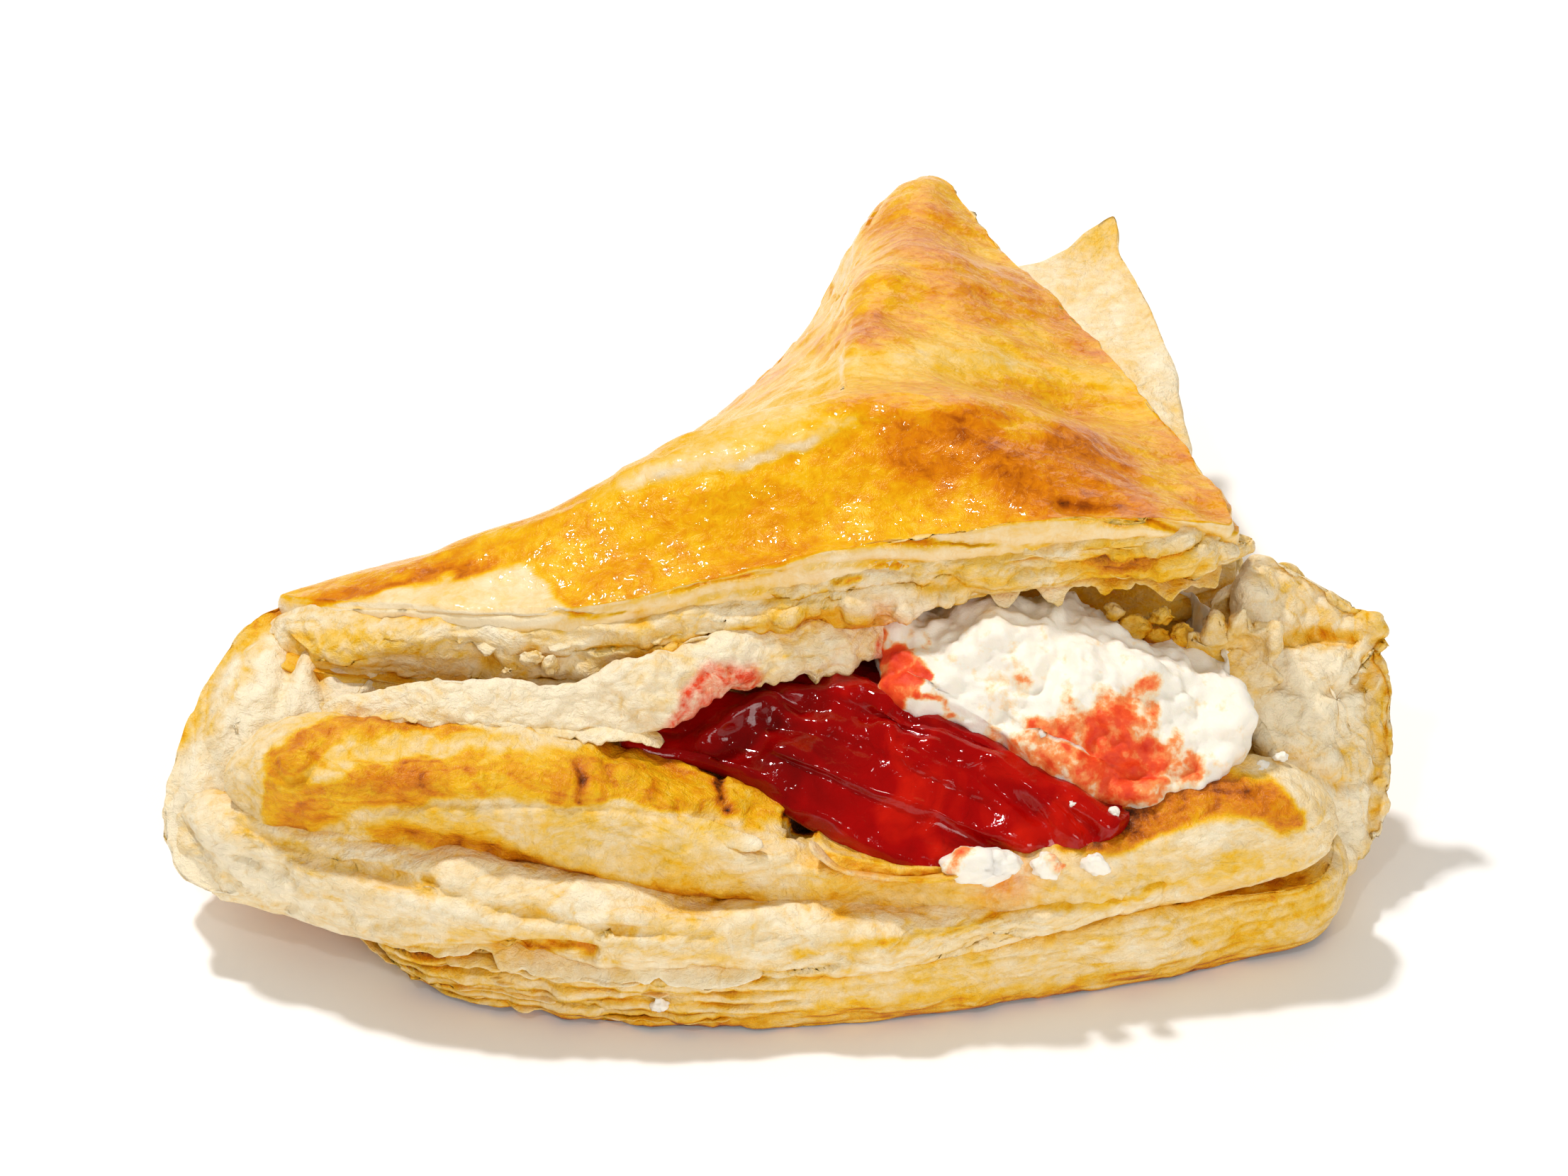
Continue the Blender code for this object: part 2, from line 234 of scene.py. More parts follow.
def pick(pieces):
    # selects these pieces alone, and the first is the active one
    bpy.ops.object.select_all(action="DESELECT")
    for piece in pieces:
        piece.select_set(True)
    bpy.context.view_layer.objects.active = pieces[0]


def closeUp(piece):
    # merges the wrapped grid's seam and poles, and turns its faces outwards
    pick([piece])
    bpy.ops.object.mode_set(mode="EDIT")
    bpy.ops.mesh.select_all(action="SELECT")
    bpy.ops.mesh.remove_doubles(threshold=sameSpot * mm)
    bpy.ops.mesh.normals_make_consistent(inside=False)
    bpy.ops.object.mode_set(mode="OBJECT")
    bpy.ops.object.shade_smooth()


def keepNumber(piece, name, values, least=0.0):
    # one number a point, which the materials read
    made = piece.data.attributes.get(name) or piece.data.attributes.new(name, "FLOAT", "POINT")
    made.data.foreach_set("value", np.clip(values, least, 1.0).astype(np.float32))


underRings = 12  # rings of a sheet's underside


def sheetOf(name, look):
    # a closed sheet: rim is a closed line of (x, y, z, thickness), and centre is one such point
    # crown is how fast it rises from rim to centre, and rounded pulls its upper and lower edges in
    line = smoothLine(look["rim"], look["around"], closed=True)
    centre = np.array(look["centre"], float)
    up = unit(np.array(look.get("up", (0, 0, 1)), float))
    ahead = np.roll(line, -1, axis=0) - np.roll(line, 1, axis=0)
    out = unit(np.stack([ahead[:, 1], -ahead[:, 0]], axis=1))
    out *= np.sign(np.sum(out * (line[:, :2] - centre[:2]), axis=1))[:, None]
    rows, caps, under = look["rows"], look["caps"], underRings
    piece, turn, rise = addWrap(name, look["around"], under + rows - 1 + caps)
    side = np.clip((rise - under) / (rows - 1) * 2 - 1, -1.0, 1.0)
    cap = np.maximum((under - rise) / under, 0.0) + np.maximum((rise - under - rows + 1) / caps, 0.0)
    reach = 1.0 - cap ** look.get("gather", 1.0)
    edge = line[turn]
    mid = centre[:3] + (edge[:, :3] - centre[:3]) * reach[:, None]
    mid[:, 2] = centre[2] + (edge[:, 2] - centre[2]) * reach ** look.get("crown", 1.6)
    thick = centre[3] + (edge[:, 3] - centre[3]) * ease(reach * 1.15 - 0.15)
    points = mid + up * (np.sin(side * math.pi / 2) * thick / 2)[:, None]
    pull = look.get("rounded", 0.8) * (1 - np.cos(side * math.pi / 2)) * (1 - cap) ** 6
    points[:, :2] -= out[turn] * pull[:, None]
    for x, y, spread, height in look.get("bumps", ()):
        gap = np.hypot(points[:, 0] - x, points[:, 1] - y) / spread
        points[:, 2] += height * np.exp(-gap * gap) * (side > 0.5)
    for ridge, width, height in look.get("ridges", ()):
        points[:, 2] += height * nearLine(points, ridge, width, flat=True) * (side > 0.5)
    movePoints(piece, points)
    closeUp(piece)
    return piece


def rollOf(name, look):
    # a rolled fold: spine is an open line of (x, y, z, half height, half depth, tilt in degrees)
    along, around = look["along"], look["around"]
    line = smoothLine(look["spine"], along + 1)
    piece, turn, rise = addWrap(name, around, along)
    at = line[rise]
    forward = unit(np.gradient(line[:, :3], axis=0))[rise]
    across = unit(np.cross(forward, (0, 0, 1)))
    above = unit(np.cross(across, forward))
    angle = turn / around * math.tau
    swell = (1 - np.abs(2 * rise / along - 1) ** look.get("blunt", 7)) ** 0.5
    square = look.get("square", 0.8)
    deep = at[:, 4] * swell
    if "ragged" in look:
        spot = np.column_stack([rise * 0.0, rise * 0.0, rise / along * look["length"]])
        edge = rough(spot, (1, 1, look["tear"]), look["seed"], 3)
        deep = deep * (1 + look["ragged"] * edge * ease(np.cos(angle), 0.0, 0.6))
    u = np.sign(np.cos(angle)) * np.abs(np.cos(angle)) ** square * deep
    w = np.sign(np.sin(angle)) * np.abs(np.sin(angle)) ** square * at[:, 3] * swell
    lean = np.radians(at[:, 5])
    sideways = u * np.cos(lean) - w * np.sin(lean)
    lift = u * np.sin(lean) + w * np.cos(lean)
    movePoints(piece, at[:, :3] + across * sideways[:, None] + above * lift[:, None])
    closeUp(piece)
    return piece


def wrinkle(piece, look):
    # each wave is (reach, height, seed): the surface goes in and out by up to that height
    points, ways = pointsOf(piece), waysOf(piece)
    amount = np.zeros(len(points))
    for reach, height, seed in look.get("waves", ()):
        amount += height * rough(points, reach, seed, 2)
    movePoints(piece, points + ways * amount[:, None])


def press(piece, look):
    # sinks or raises the marked places
    points, ways = pointsOf(piece), waysOf(piece)
    movePoints(piece, points + ways * marksOf(points, ways, look, ragged=0.2)[:, None])


def calmMiddle(piece, look):
    # evens out the crowded points in the middle of a sheet's face
    gap = np.linalg.norm(pointsOf(piece) - look["middle"], axis=1)
    pick([piece])
    bpy.ops.object.mode_set(mode="EDIT")
    bpy.ops.mesh.select_mode(type="VERT")
    bpy.ops.mesh.select_all(action="DESELECT")
    bpy.ops.object.mode_set(mode="OBJECT")
    piece.data.vertices.foreach_set("select", gap < look["reach"])
    bpy.ops.object.mode_set(mode="EDIT")
    bpy.ops.mesh.vertices_smooth(factor=0.5, repeat=look["times"])
    bpy.ops.object.mode_set(mode="OBJECT")


def blister(piece, look):
    # low round bubbles where the layers parted in the oven
    points, ways = pointsOf(piece), waysOf(piece)
    draw = np.random.default_rng(look["seed"])
    amount = np.zeros(len(points))
    facing = np.nonzero(ways @ unit(np.array(look.get("facing", (0, 0, 1)), float)) > 0.35)[0]
    for spot in draw.choice(facing, look["count"]):
        size = draw.uniform(*look["size"])
        gap = np.linalg.norm(points - points[spot], axis=1) / size
        amount = np.maximum(amount, np.clip(1 - gap * gap, 0, 1) * size * look["lift"])
    movePoints(piece, points + ways * amount[:, None])


# widths in parts of one sheet's or layer's level
stepWidth = 0.22
footWidth = 0.16
slitWidth = 0.17


def peel(piece, look):
    # thin torn sheets lie on each other in steps; gives back 1 at the foot of each step, for painted shade
    # there
    points, ways = pointsOf(piece), waysOf(piece)
    level = look["sheets"] * rough(points, look["reach"], look["seed"], 3)
    number = np.floor(level)
    part = level - number
    amount = look["thick"] * (number + ease(part, 0.0, stepWidth))
    movePoints(piece, points + ways * amount[:, None])
    return look.get("footShade", 1.0) * np.exp(-(((1 - part) / footWidth) ** 2))


# how the layers vary along the sides: (reach, share) for what stands out, and then the rest
layerGrain = {
    "stand": [((9, 9, 1), 1.0), ((2.4, 2.4, 1), 0.55), ((0.9, 0.9, 1), 0.3)],
    "wander": 24,
    "uneven": 0.45,
    "flat": (0.03, 0.03, 1),
    "gaps": (8, 8, 1),
    "gapsBy": 1.3,
    "curl": (5, 5, 1),
    "steep": (0.12, 0.6),
}


def flakeLayers(piece, look):
    # layers along the sides stand out or lie back; gives back how deep in a slit each point is, for painted
    # shade there
    points, ways = pointsOf(piece), waysOf(piece)
    pitch, seed = look["pitch"], look["seed"]
    plan = points * (1, 1, 0)
    level = (points[:, 2] + look.get("wander", 1.2) * rough(plan, layerGrain["wander"], seed, 2)) / pitch
    level += layerGrain["uneven"] * grain(points * layerGrain["flat"], pitch * 1.7, seed + 8)
    number = np.floor(level)
    part = level - number
    spot = np.column_stack([points[:, 0], points[:, 1], number * 37.0])
    stand = np.zeros(len(points))
    for k, (reach, share) in enumerate(layerGrain["stand"]):
        stand += share * grain(spot, reach, seed + 1 + k)
    slit = np.exp(-((np.minimum(part, 1 - part) / slitWidth) ** 2))
    gaps = layerGrain["gapsBy"] * grain(spot, layerGrain["gaps"], seed + 4)
    slit *= np.clip(look.get("open", 0.25) + gaps, 0.0, 1.0)
    outward = unit(ways * (1, 1, 0))
    steep = ease(1 - np.abs(ways[:, 2]), *layerGrain["steep"])
    if "where" in look:
        steep = steep * look["where"](points)
    push = (stand * look["stand"] - slit * look["deep"]) * steep
    points += outward * push[:, None]
    points[:, 2] += look.get("curl", 0.3) * grain(spot, layerGrain["curl"], seed + 5) * steep
    movePoints(piece, points)
    return slit * steep


mottleSeed = 3
mottleReach = 9
fleckReach = 1.6
fleckShare = 0.6


def paint(piece, look, slitShade=None):
    # bake runs from raw cream to dark brown, and stain is how red with jam the dough is; bake also holds
    # painted shade, and on the lid painted sheen
    points, ways = pointsOf(piece), waysOf(piece)
    bake = np.full(len(points), look["bake"])
    bake += look.get("top", 0.0) * ease(ways[:, 2], 0.1, 0.8)
    # faces that look down are made browner: painted shade under the lid and the lip
    bake += look.get("under", 0.0) * ease(-ways[:, 2], 0.2, 0.9)
    bake += nearSpots(points, look.get("spots", ()))
    for line, width, amount in look.get("streaks", ()):
        bake += amount * nearLine(points, line, width)
    bake += marksOf(points, ways, look)
    bake += look["mottle"] * rough(points, mottleReach, mottleSeed, 3)
    bake += fleckShare * look["mottle"] * rough(points * (1, 1, 2), fleckReach, mottleSeed + 1, 2)
    # painted shade: the inside of slits and the foot of each peeled step are made browner
    if slitShade is not None:
        bake += look["slitShade"] * slitShade
    keepNumber(piece, "bake", bake, least=-0.2)
    stain = nearSpots(points, look.get("stains", ()))
    stain += marksOf(points, ways, {"areas": look.get("stained", ())}, ragged=0.8)
    keepNumber(piece, "stain", stain)


def dress(piece, finish, node="pastry"):
    piece.data.materials.clear()
    piece.data.materials.append(finish)
    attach(piece, "root")
    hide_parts(node)


# Materials

noiseSpan = (0.3, 0.7)  # where most values of a noise lie


def wire(tree, node, inputs):
    # an input gets a link from a socket, or else a value
    for socket, value in inputs.items():
        if isinstance(value, bpy.types.NodeSocket):
            tree.links.new(value, node.inputs[socket])
        else:
            node.inputs[socket].default_value = value


def addNode(tree, kind, inputs, **settings):
    made = tree.nodes.new(kind)
    for key, value in settings.items():
        setattr(made, key, value)
    wire(tree, made, inputs)
    return made


def addNumber(tree, name):
    # a number that keepNumber gave the points
    return addNode(tree, "ShaderNodeAttribute", {}, attribute_name=name).outputs["Fac"]


def addMath(tree, operation, *values):
    return addNode(tree, "ShaderNodeMath", dict(enumerate(values)), operation=operation).outputs[0]


def addRange(tree, value, low, high, toLow, toHigh):
    ends = {"From Min": low, "From Max": high, "To Min": toLow, "To Max": toHigh}
    return addNode(tree, "ShaderNodeMapRange", {"Value": value, **ends}).outputs["Result"]


def addBump(tree, height, strength, depth):
    # depth is in millimetres
    inputs = {"Height": height, "Strength": strength, "Distance": depth * mm}
    return addNode(tree, "ShaderNodeBump", inputs).outputs["Normal"]


def addRamp(tree, factor, stops):
    ramp = addNode(tree, "ShaderNodeValToRGB", {"Fac": factor})
    for k in (0, -1):
        ramp.color_ramp.elements[k].position = stops[k][0]
        ramp.color_ramp.elements[k].color = (*stops[k][1], 1.0)
    for position, colour in stops[1:-1]:
        ramp.color_ramp.elements.new(position).color = (*colour, 1.0)
    return ramp.outputs["Color"]


def addNoise(tree, place, size, detail, roughness, distortion=0.0):
    # size is the pattern's size in millimetres
    inputs = {"Vector": place, "Scale": 1.0 / (size * mm), "Detail": detail, "Roughness": roughness}
    return addNode(tree, "ShaderNodeTexNoise", {**inputs, "Distortion": distortion}).outputs["Fac"]


def newFinish(name):
    made = bpy.data.materials.new(name)
    made.use_nodes = True
    tree = made.node_tree
    return made, tree, tree.nodes["Principled BSDF"]


def addPlace(tree):
    return addNode(tree, "ShaderNodeTexCoord", {}).outputs["Object"]


doughColours = [
    (0.00, (0.970, 0.850, 0.620)),
    (0.12, (0.930, 0.760, 0.480)),
    (0.24, (0.900, 0.660, 0.310)),
    (0.36, (0.890, 0.580, 0.120)),
    (0.48, (0.880, 0.490, 0.006)),
    (0.60, (0.800, 0.340, 0.002)),
    (0.72, (0.700, 0.205, 0.002)),
    (0.86, (0.400, 0.085, 0.002)),
    (1.00, (0.030, 0.008, 0.004)),
]
jamRed = (0.84, 0.060, 0.012)
# what both dough finishes share: ranges of a pattern, and then what they give
doughLook = {
    "veinWidth": 0.06,
    "veinSink": -1.2,
    "open": (0.15, 0.85),
    "soak": (0.3, 0.62, 0.2, 1.0),
    "glossFrom": (0.1, 0.8),
    "inside": (1.0, 0.55, 0.25),
    "insideReach": 1.2,
    "coatTint": (1.0, 0.95, 0.82, 1.0),
    "glints": (2.1, 2.0, 0.5),
    "glintBump": (0.9, 0.5),
}


def doughFinish(name, look):
    made, tree, shader = newFinish(name)
    place = addPlace(tree)
    stretch = {"Vector": place, "Scale": (1, 1, look["layered"])}
    layered = addNode(tree, "ShaderNodeMapping", stretch).outputs["Vector"]
    fine = addNoise(tree, layered, look["grain"], 4.0, 0.7, 0.5)
    broad = addNoise(tree, place, look["cloud"], 2.0, 0.5, 0.6)
    tone = addNumber(tree, "bake")
    for pattern, amount in ((fine, look["grainBy"]), (broad, look["cloudBy"])):
        tone = addMath(tree, "ADD", tone, addRange(tree, pattern, *noiseSpan, -amount, amount))
    # fine wrinkles, browner and sunk
    crinkle = addNoise(tree, layered, look["veins"], 4.0, 0.6, 1.2)
    crinkle = addMath(tree, "ABSOLUTE", addMath(tree, "SUBTRACT", crinkle, 0.5))
    vein = addRange(tree, crinkle, 0.0, doughLook["veinWidth"], look["veinBy"], 0.0)
    # painted shade: folds and slits, which the ambient occlusion finds hemmed in, are made browner than open
    # faces
    reach = {"Distance": look["hollowShadeReach"] * mm}
    hollow = addNode(tree, "ShaderNodeAmbientOcclusion", reach, samples=2).outputs["AO"]
    hollowShade = addRange(tree, hollow, *doughLook["open"], look["hollowShadeBy"], 0.0)
    tone = addMath(tree, "ADD", addMath(tree, "ADD", tone, vein), hollowShade)
    # red where the jam soaked in
    soak = addRange(tree, fine, *doughLook["soak"])
    soaked = addMath(tree, "MULTIPLY", addNumber(tree, "stain"), soak)
    colours = {"Factor": soaked, "A": addRamp(tree, tone, doughColours), "B": (*jamRed, 1.0)}
    colour = addNode(tree, "ShaderNodeMix", colours, data_type="RGBA").outputs["Result"]
    pits = addNoise(tree, layered, look["pits"], 4.0, 0.7, 0.4)
    pits = addMath(tree, "ADD", pits, addMath(tree, "MULTIPLY", vein, doughLook["veinSink"]))
    wire(
        tree,
        shader,
        {
            "Base Color": colour,
            "Roughness": addRange(tree, tone, *doughLook["glossFrom"], look["dull"], look["shiny"]),
            "Specular IOR Level": look["specular"],
            "Specular Tint": (*look["specularTint"], 1.0),
            "Coat Weight": look["coat"],
            "Coat Roughness": look["coatRough"],
            "Subsurface Weight": look["soft"],
            "Subsurface Radius": doughLook["inside"],
            "Subsurface Scale": doughLook["insideReach"] * mm,
            "Normal": addBump(tree, pits, look["bump"], look["pitDepth"]),
        },
    )
    if look["coat"] > 0:
        glint = addBump(tree, addNoise(tree, place, *doughLook["glints"]), *doughLook["glintBump"])
        wire(tree, shader, {"Coat Tint": doughLook["coatTint"], "Coat Normal": glint})
    return made


bakedDough = doughFinish(
    "bakedDough",
    {
        "grain": 1.9,
        "grainBy": 0.11,
        "layered": 1.3,
        "cloud": 10.0,
        "cloudBy": 0.08,
        "veins": 7.0,
        "veinBy": 0.07,
        # painted shade in folds and slits: how far the occlusion looks and how much browner it makes them
        "hollowShadeReach": 3.5,
        "hollowShadeBy": 0.26,
        "dull": 0.5,
        "shiny": 0.28,
        "specular": 0.24,
        "specularTint": (1.0, 1.0, 0.95),
        "coat": 0.0,
        "coatRough": 0.3,
        "soft": 0.05,
        "pits": 1.2,
        "pitDepth": 0.6,
        "bump": 0.85,
    },
)
glazedCrust = doughFinish(
    "glazedCrust",
    {
        "grain": 1.4,
        "grainBy": 0.09,
        "layered": 1.0,
        "cloud": 9.0,
        "cloudBy": 0.05,
        "veins": 6.0,
        "veinBy": 0.04,
        # painted shade in folds and slits: how far the occlusion looks and how much browner it makes them
        "hollowShadeReach": 2.5,
        "hollowShadeBy": 0.12,
        "dull": 0.3,
        "shiny": 0.24,
        "specular": 0.14,
        "specularTint": (1.0, 0.86, 0.4),
        "coat": 0.3,
        "coatRough": 0.04,
        "soft": 0.0,
        "pits": 1.4,
        "pitDepth": 0.4,
        "bump": 0.6,
    },
)


def fillingFinish(name, look):
    # the colour follows one of the piece's own numbers in uneven patches, and small pits cover it
    made, tree, shader = newFinish(name)
    place = addPlace(tree)
    patches = addNoise(tree, place, *look["patches"])
    shift = addRange(tree, patches, *noiseSpan, -look["patchy"], look["patchy"])
    tone = addMath(tree, "ADD", addNumber(tree, look["follows"]), shift)
    pits = addBump(tree, addNoise(tree, place, *look["pits"]), *look["pitted"])
    colour = addRamp(tree, tone, look["colours"])
    wire(tree, shader, {"Base Color": colour, "Normal": pits, **look["surface"]})
    return made


redJam = fillingFinish(
    "redJam",
    {
        "follows": "deep",
        "colours": [
            (0.0, (0.70, 0.014, 0.003)),
            (0.4, (0.36, 0.001, 0.001)),
            (1.0, (0.14, 0.001, 0.001)),
        ],
        "patches": (6.0, 3.0, 0.5, 0.8),
        "patchy": 0.2,
        "pits": (1.9, 3.0, 0.5, 0.6),
        "pitted": (0.7, 0.5),
        "surface": {"Roughness": 0.1, "Specular IOR Level": 0.1, "Coat Weight": 0.5, "Coat Roughness": 0.03},
    },
)
whiteCheese = fillingFinish(
    "whiteCheese",
    {
        "follows": "stain",
        "colours": [
            (0.12, (1.000, 0.940, 0.830)),
            (0.28, (1.000, 0.780, 0.520)),
            (0.44, (0.980, 0.340, 0.100)),
            (0.64, (0.900, 0.090, 0.014)),
            (1.00, (0.700, 0.015, 0.004)),
        ],
        "patches": (2.0, 4.0, 0.6),
        "patchy": 0.28,
        "pits": (0.9, 5.0, 0.7),
        "pitted": (0.5, 0.3),
        "surface": {
            "Roughness": 0.5,
            "Specular IOR Level": 0.3,
            "Subsurface Weight": 0.3,
            "Subsurface Radius": (1.0, 0.8, 0.55),
            "Subsurface Scale": 1.2 * mm,
        },
    },
)
print("materials are ready")


# Bottom slab: thin layers, lifted off the table at the left corner, and a smooth roll at the front right

def flakyLeft(points):
    # how much the layers show: less at the front right, where the dough is rolled under
    front = ease(-points[:, 1], 22, 36)
    return 1 - 0.9 * front * ease(points[:, 0], -12, 6)


slabLook = {
    "rim": [
        (-52, -44, 10.5, 6), (-45, -46.5, 9, 6), (-37, -52, 4.6, 7), (-27, -55, 3.9, 7.5),
        (-12, -57.0, 3.7, 7.5), (6, -57.0, 3.7, 7.5), (26, -53, 4.1, 8), (44, -48, 4.4, 8.5),
        (56, -43.5, 4.3, 8), (58, -30, 4.3, 8.6), (55, -10, 4.3, 8.8), (48, 14, 4.3, 8.8),
        (40, 36, 4.3, 8.8), (25, 55, 4.3, 8.8), (13, 56, 4.3, 8.8), (-4, 40, 4.4, 8.8), (-20, 18, 4.6, 8.6),
        (-38, -6, 6, 8), (-53, -24, 8.5, 8), (-59, -36, 10.5, 8),
    ],
    "centre": (2, -8, 3.6, 9),
    "around": 520,
    "rows": 44,
    "caps": 30,
    "gather": 1.6,
    "rounded": 1.6,
    "layers": {
        "pitch": 1.3,
        "stand": 0.9,
        "deep": 1.6,
        "open": 0.45,
        "seed": 21,
        "wander": 0.8,
        "where": flakyLeft,
    },
    "blisters": {"count": 26, "size": (1.2, 2.6), "lift": 0.16, "seed": 44, "facing": (0.3, -1, 0.2)},
    "peel": {"reach": (16, 9, 5), "sheets": 2.0, "thick": 0.16, "seed": 151, "footShade": 0.3},
    "waves": [((16, 8, 5), 0.6, 31), (4, 0.2, 32)],
    "finish": {
        "bake": 0.16,
        "top": 0.1,
        "under": 0.5,
        "mottle": 0.07,
        "slitShade": 0.42,
        "streaks": [
            ([(-30, -56, 0.5, 0), (0, -58, 0.5, 0), (30, -53, 0.5, 0), (57, -44, 1, 0)], 1.6, 0.16),
        ],
        "areas": [
            ([
                (48.7, -36.1), (53.3, -31.9), (57.1, -30.9), (58.8, -35.3), (54.8, -38.4), (45.6, -40.1),
            ], 2.2, 0.16),
        ],
        "lines": [
            # painted shade in a dark slot under the pleat
            ([(-19.3, -41.0), (-14.7, -41.2)], 0.4, 0.45),
            ([
                (-31.2, -46.2), (-19.6, -47.6), (-8.1, -47.0), (7.2, -45.2), (22.6, -43.8), (37.9, -41.6),
            ], 0.7, 0.2),
            # painted shade in the groove under the pleat
            ([
                (1.0, -39.9), (11.6, -38.8), (23.3, -35.8), (30.2, -34.7), (37.6, -33.8), (44.9, -31.2),
                (55.6, -31.4),
            ], 0.8, 0.16),
        ],
    },
}
slab = sheetOf("slab", slabLook)
wrinkle(slab, slabLook)
slabSlitShade = flakeLayers(slab, slabLook["layers"]) + peel(slab, slabLook["peel"])
blister(slab, slabLook["blisters"])
paint(slab, slabLook["finish"], slabSlitShade)
dress(slab, bakedDough)


def plainSheet(name, look):
    # a sheet with wrinkles and, if its dictionary says so, layers along its sides
    piece = sheetOf(name, look)
    wrinkle(piece, look)
    paint(piece, look["finish"], flakeLayers(piece, look["layers"]) if "layers" in look else None)
    dress(piece, bakedDough)


slabUpperLook = {
    "rim": [
        (-52, -38, 14.5, 8), (-28, -44, 12, 8), (0, -47, 10, 7), (28, -43, 11, 7), (47, -38, 12, 8),
        (55, -22, 12, 8), (51, -2, 12, 8), (46, 16, 12, 8), (39, 36, 12, 8), (26, 55, 11, 8),
        (13, 54, 11, 8), (-2, 36, 10, 8), (-18, 12, 10, 9), (-38, -8, 12, 9), (-54, -25, 15, 9),
    ],
    "centre": (2, -8, 12, 9),
    "around": 360,
    "rows": 30,
    "caps": 12,
    "gather": 1.6,
    "waves": [(14, 0.35, 33), (4, 0.15, 34)],
    "layers": {"pitch": 1.5, "stand": 0.8, "deep": 1.1, "seed": 22, "wander": 1.6},
    "finish": {"bake": 0.16, "top": 0.1, "mottle": 0.08, "slitShade": 0.4},
}
plainSheet("slabUpper", slabUpperLook)

middleLook = {
    "rim": [
        (-52, -28, 20, 9), (-30, -33, 20, 9), (-8, -27, 19.5, 9), (15, -22, 20, 9), (35, -20, 20, 9),
        (48, -12, 21, 8), (45, 4, 20, 8), (42.5, 18, 19.5, 8), (38, 34, 18.5, 8), (27, 53, 18, 8),
        (15, 53, 18, 9), (3, 32, 17, 9), (-10, 10, 17, 9), (-30, -10, 18, 9), (-47, -20, 19, 8),
    ],
    "centre": (10, 2, 21, 11),
    "around": 360,
    "rows": 34,
    "caps": 16,
    "gather": 1.6,
    "waves": [(12, 0.4, 35), (4, 0.2, 36)],
    "layers": {"pitch": 1.6, "stand": 0.8, "deep": 1.1, "seed": 23, "wander": 2.2},
    "finish": {"bake": 0.24, "top": 0.1, "mottle": 0.1, "slitShade": 0.4},
}
plainSheet("middle", middleLook)
print("slab layers are made")


# Lid: the glazed top leaf, highest behind its front edge, folded down at its back left

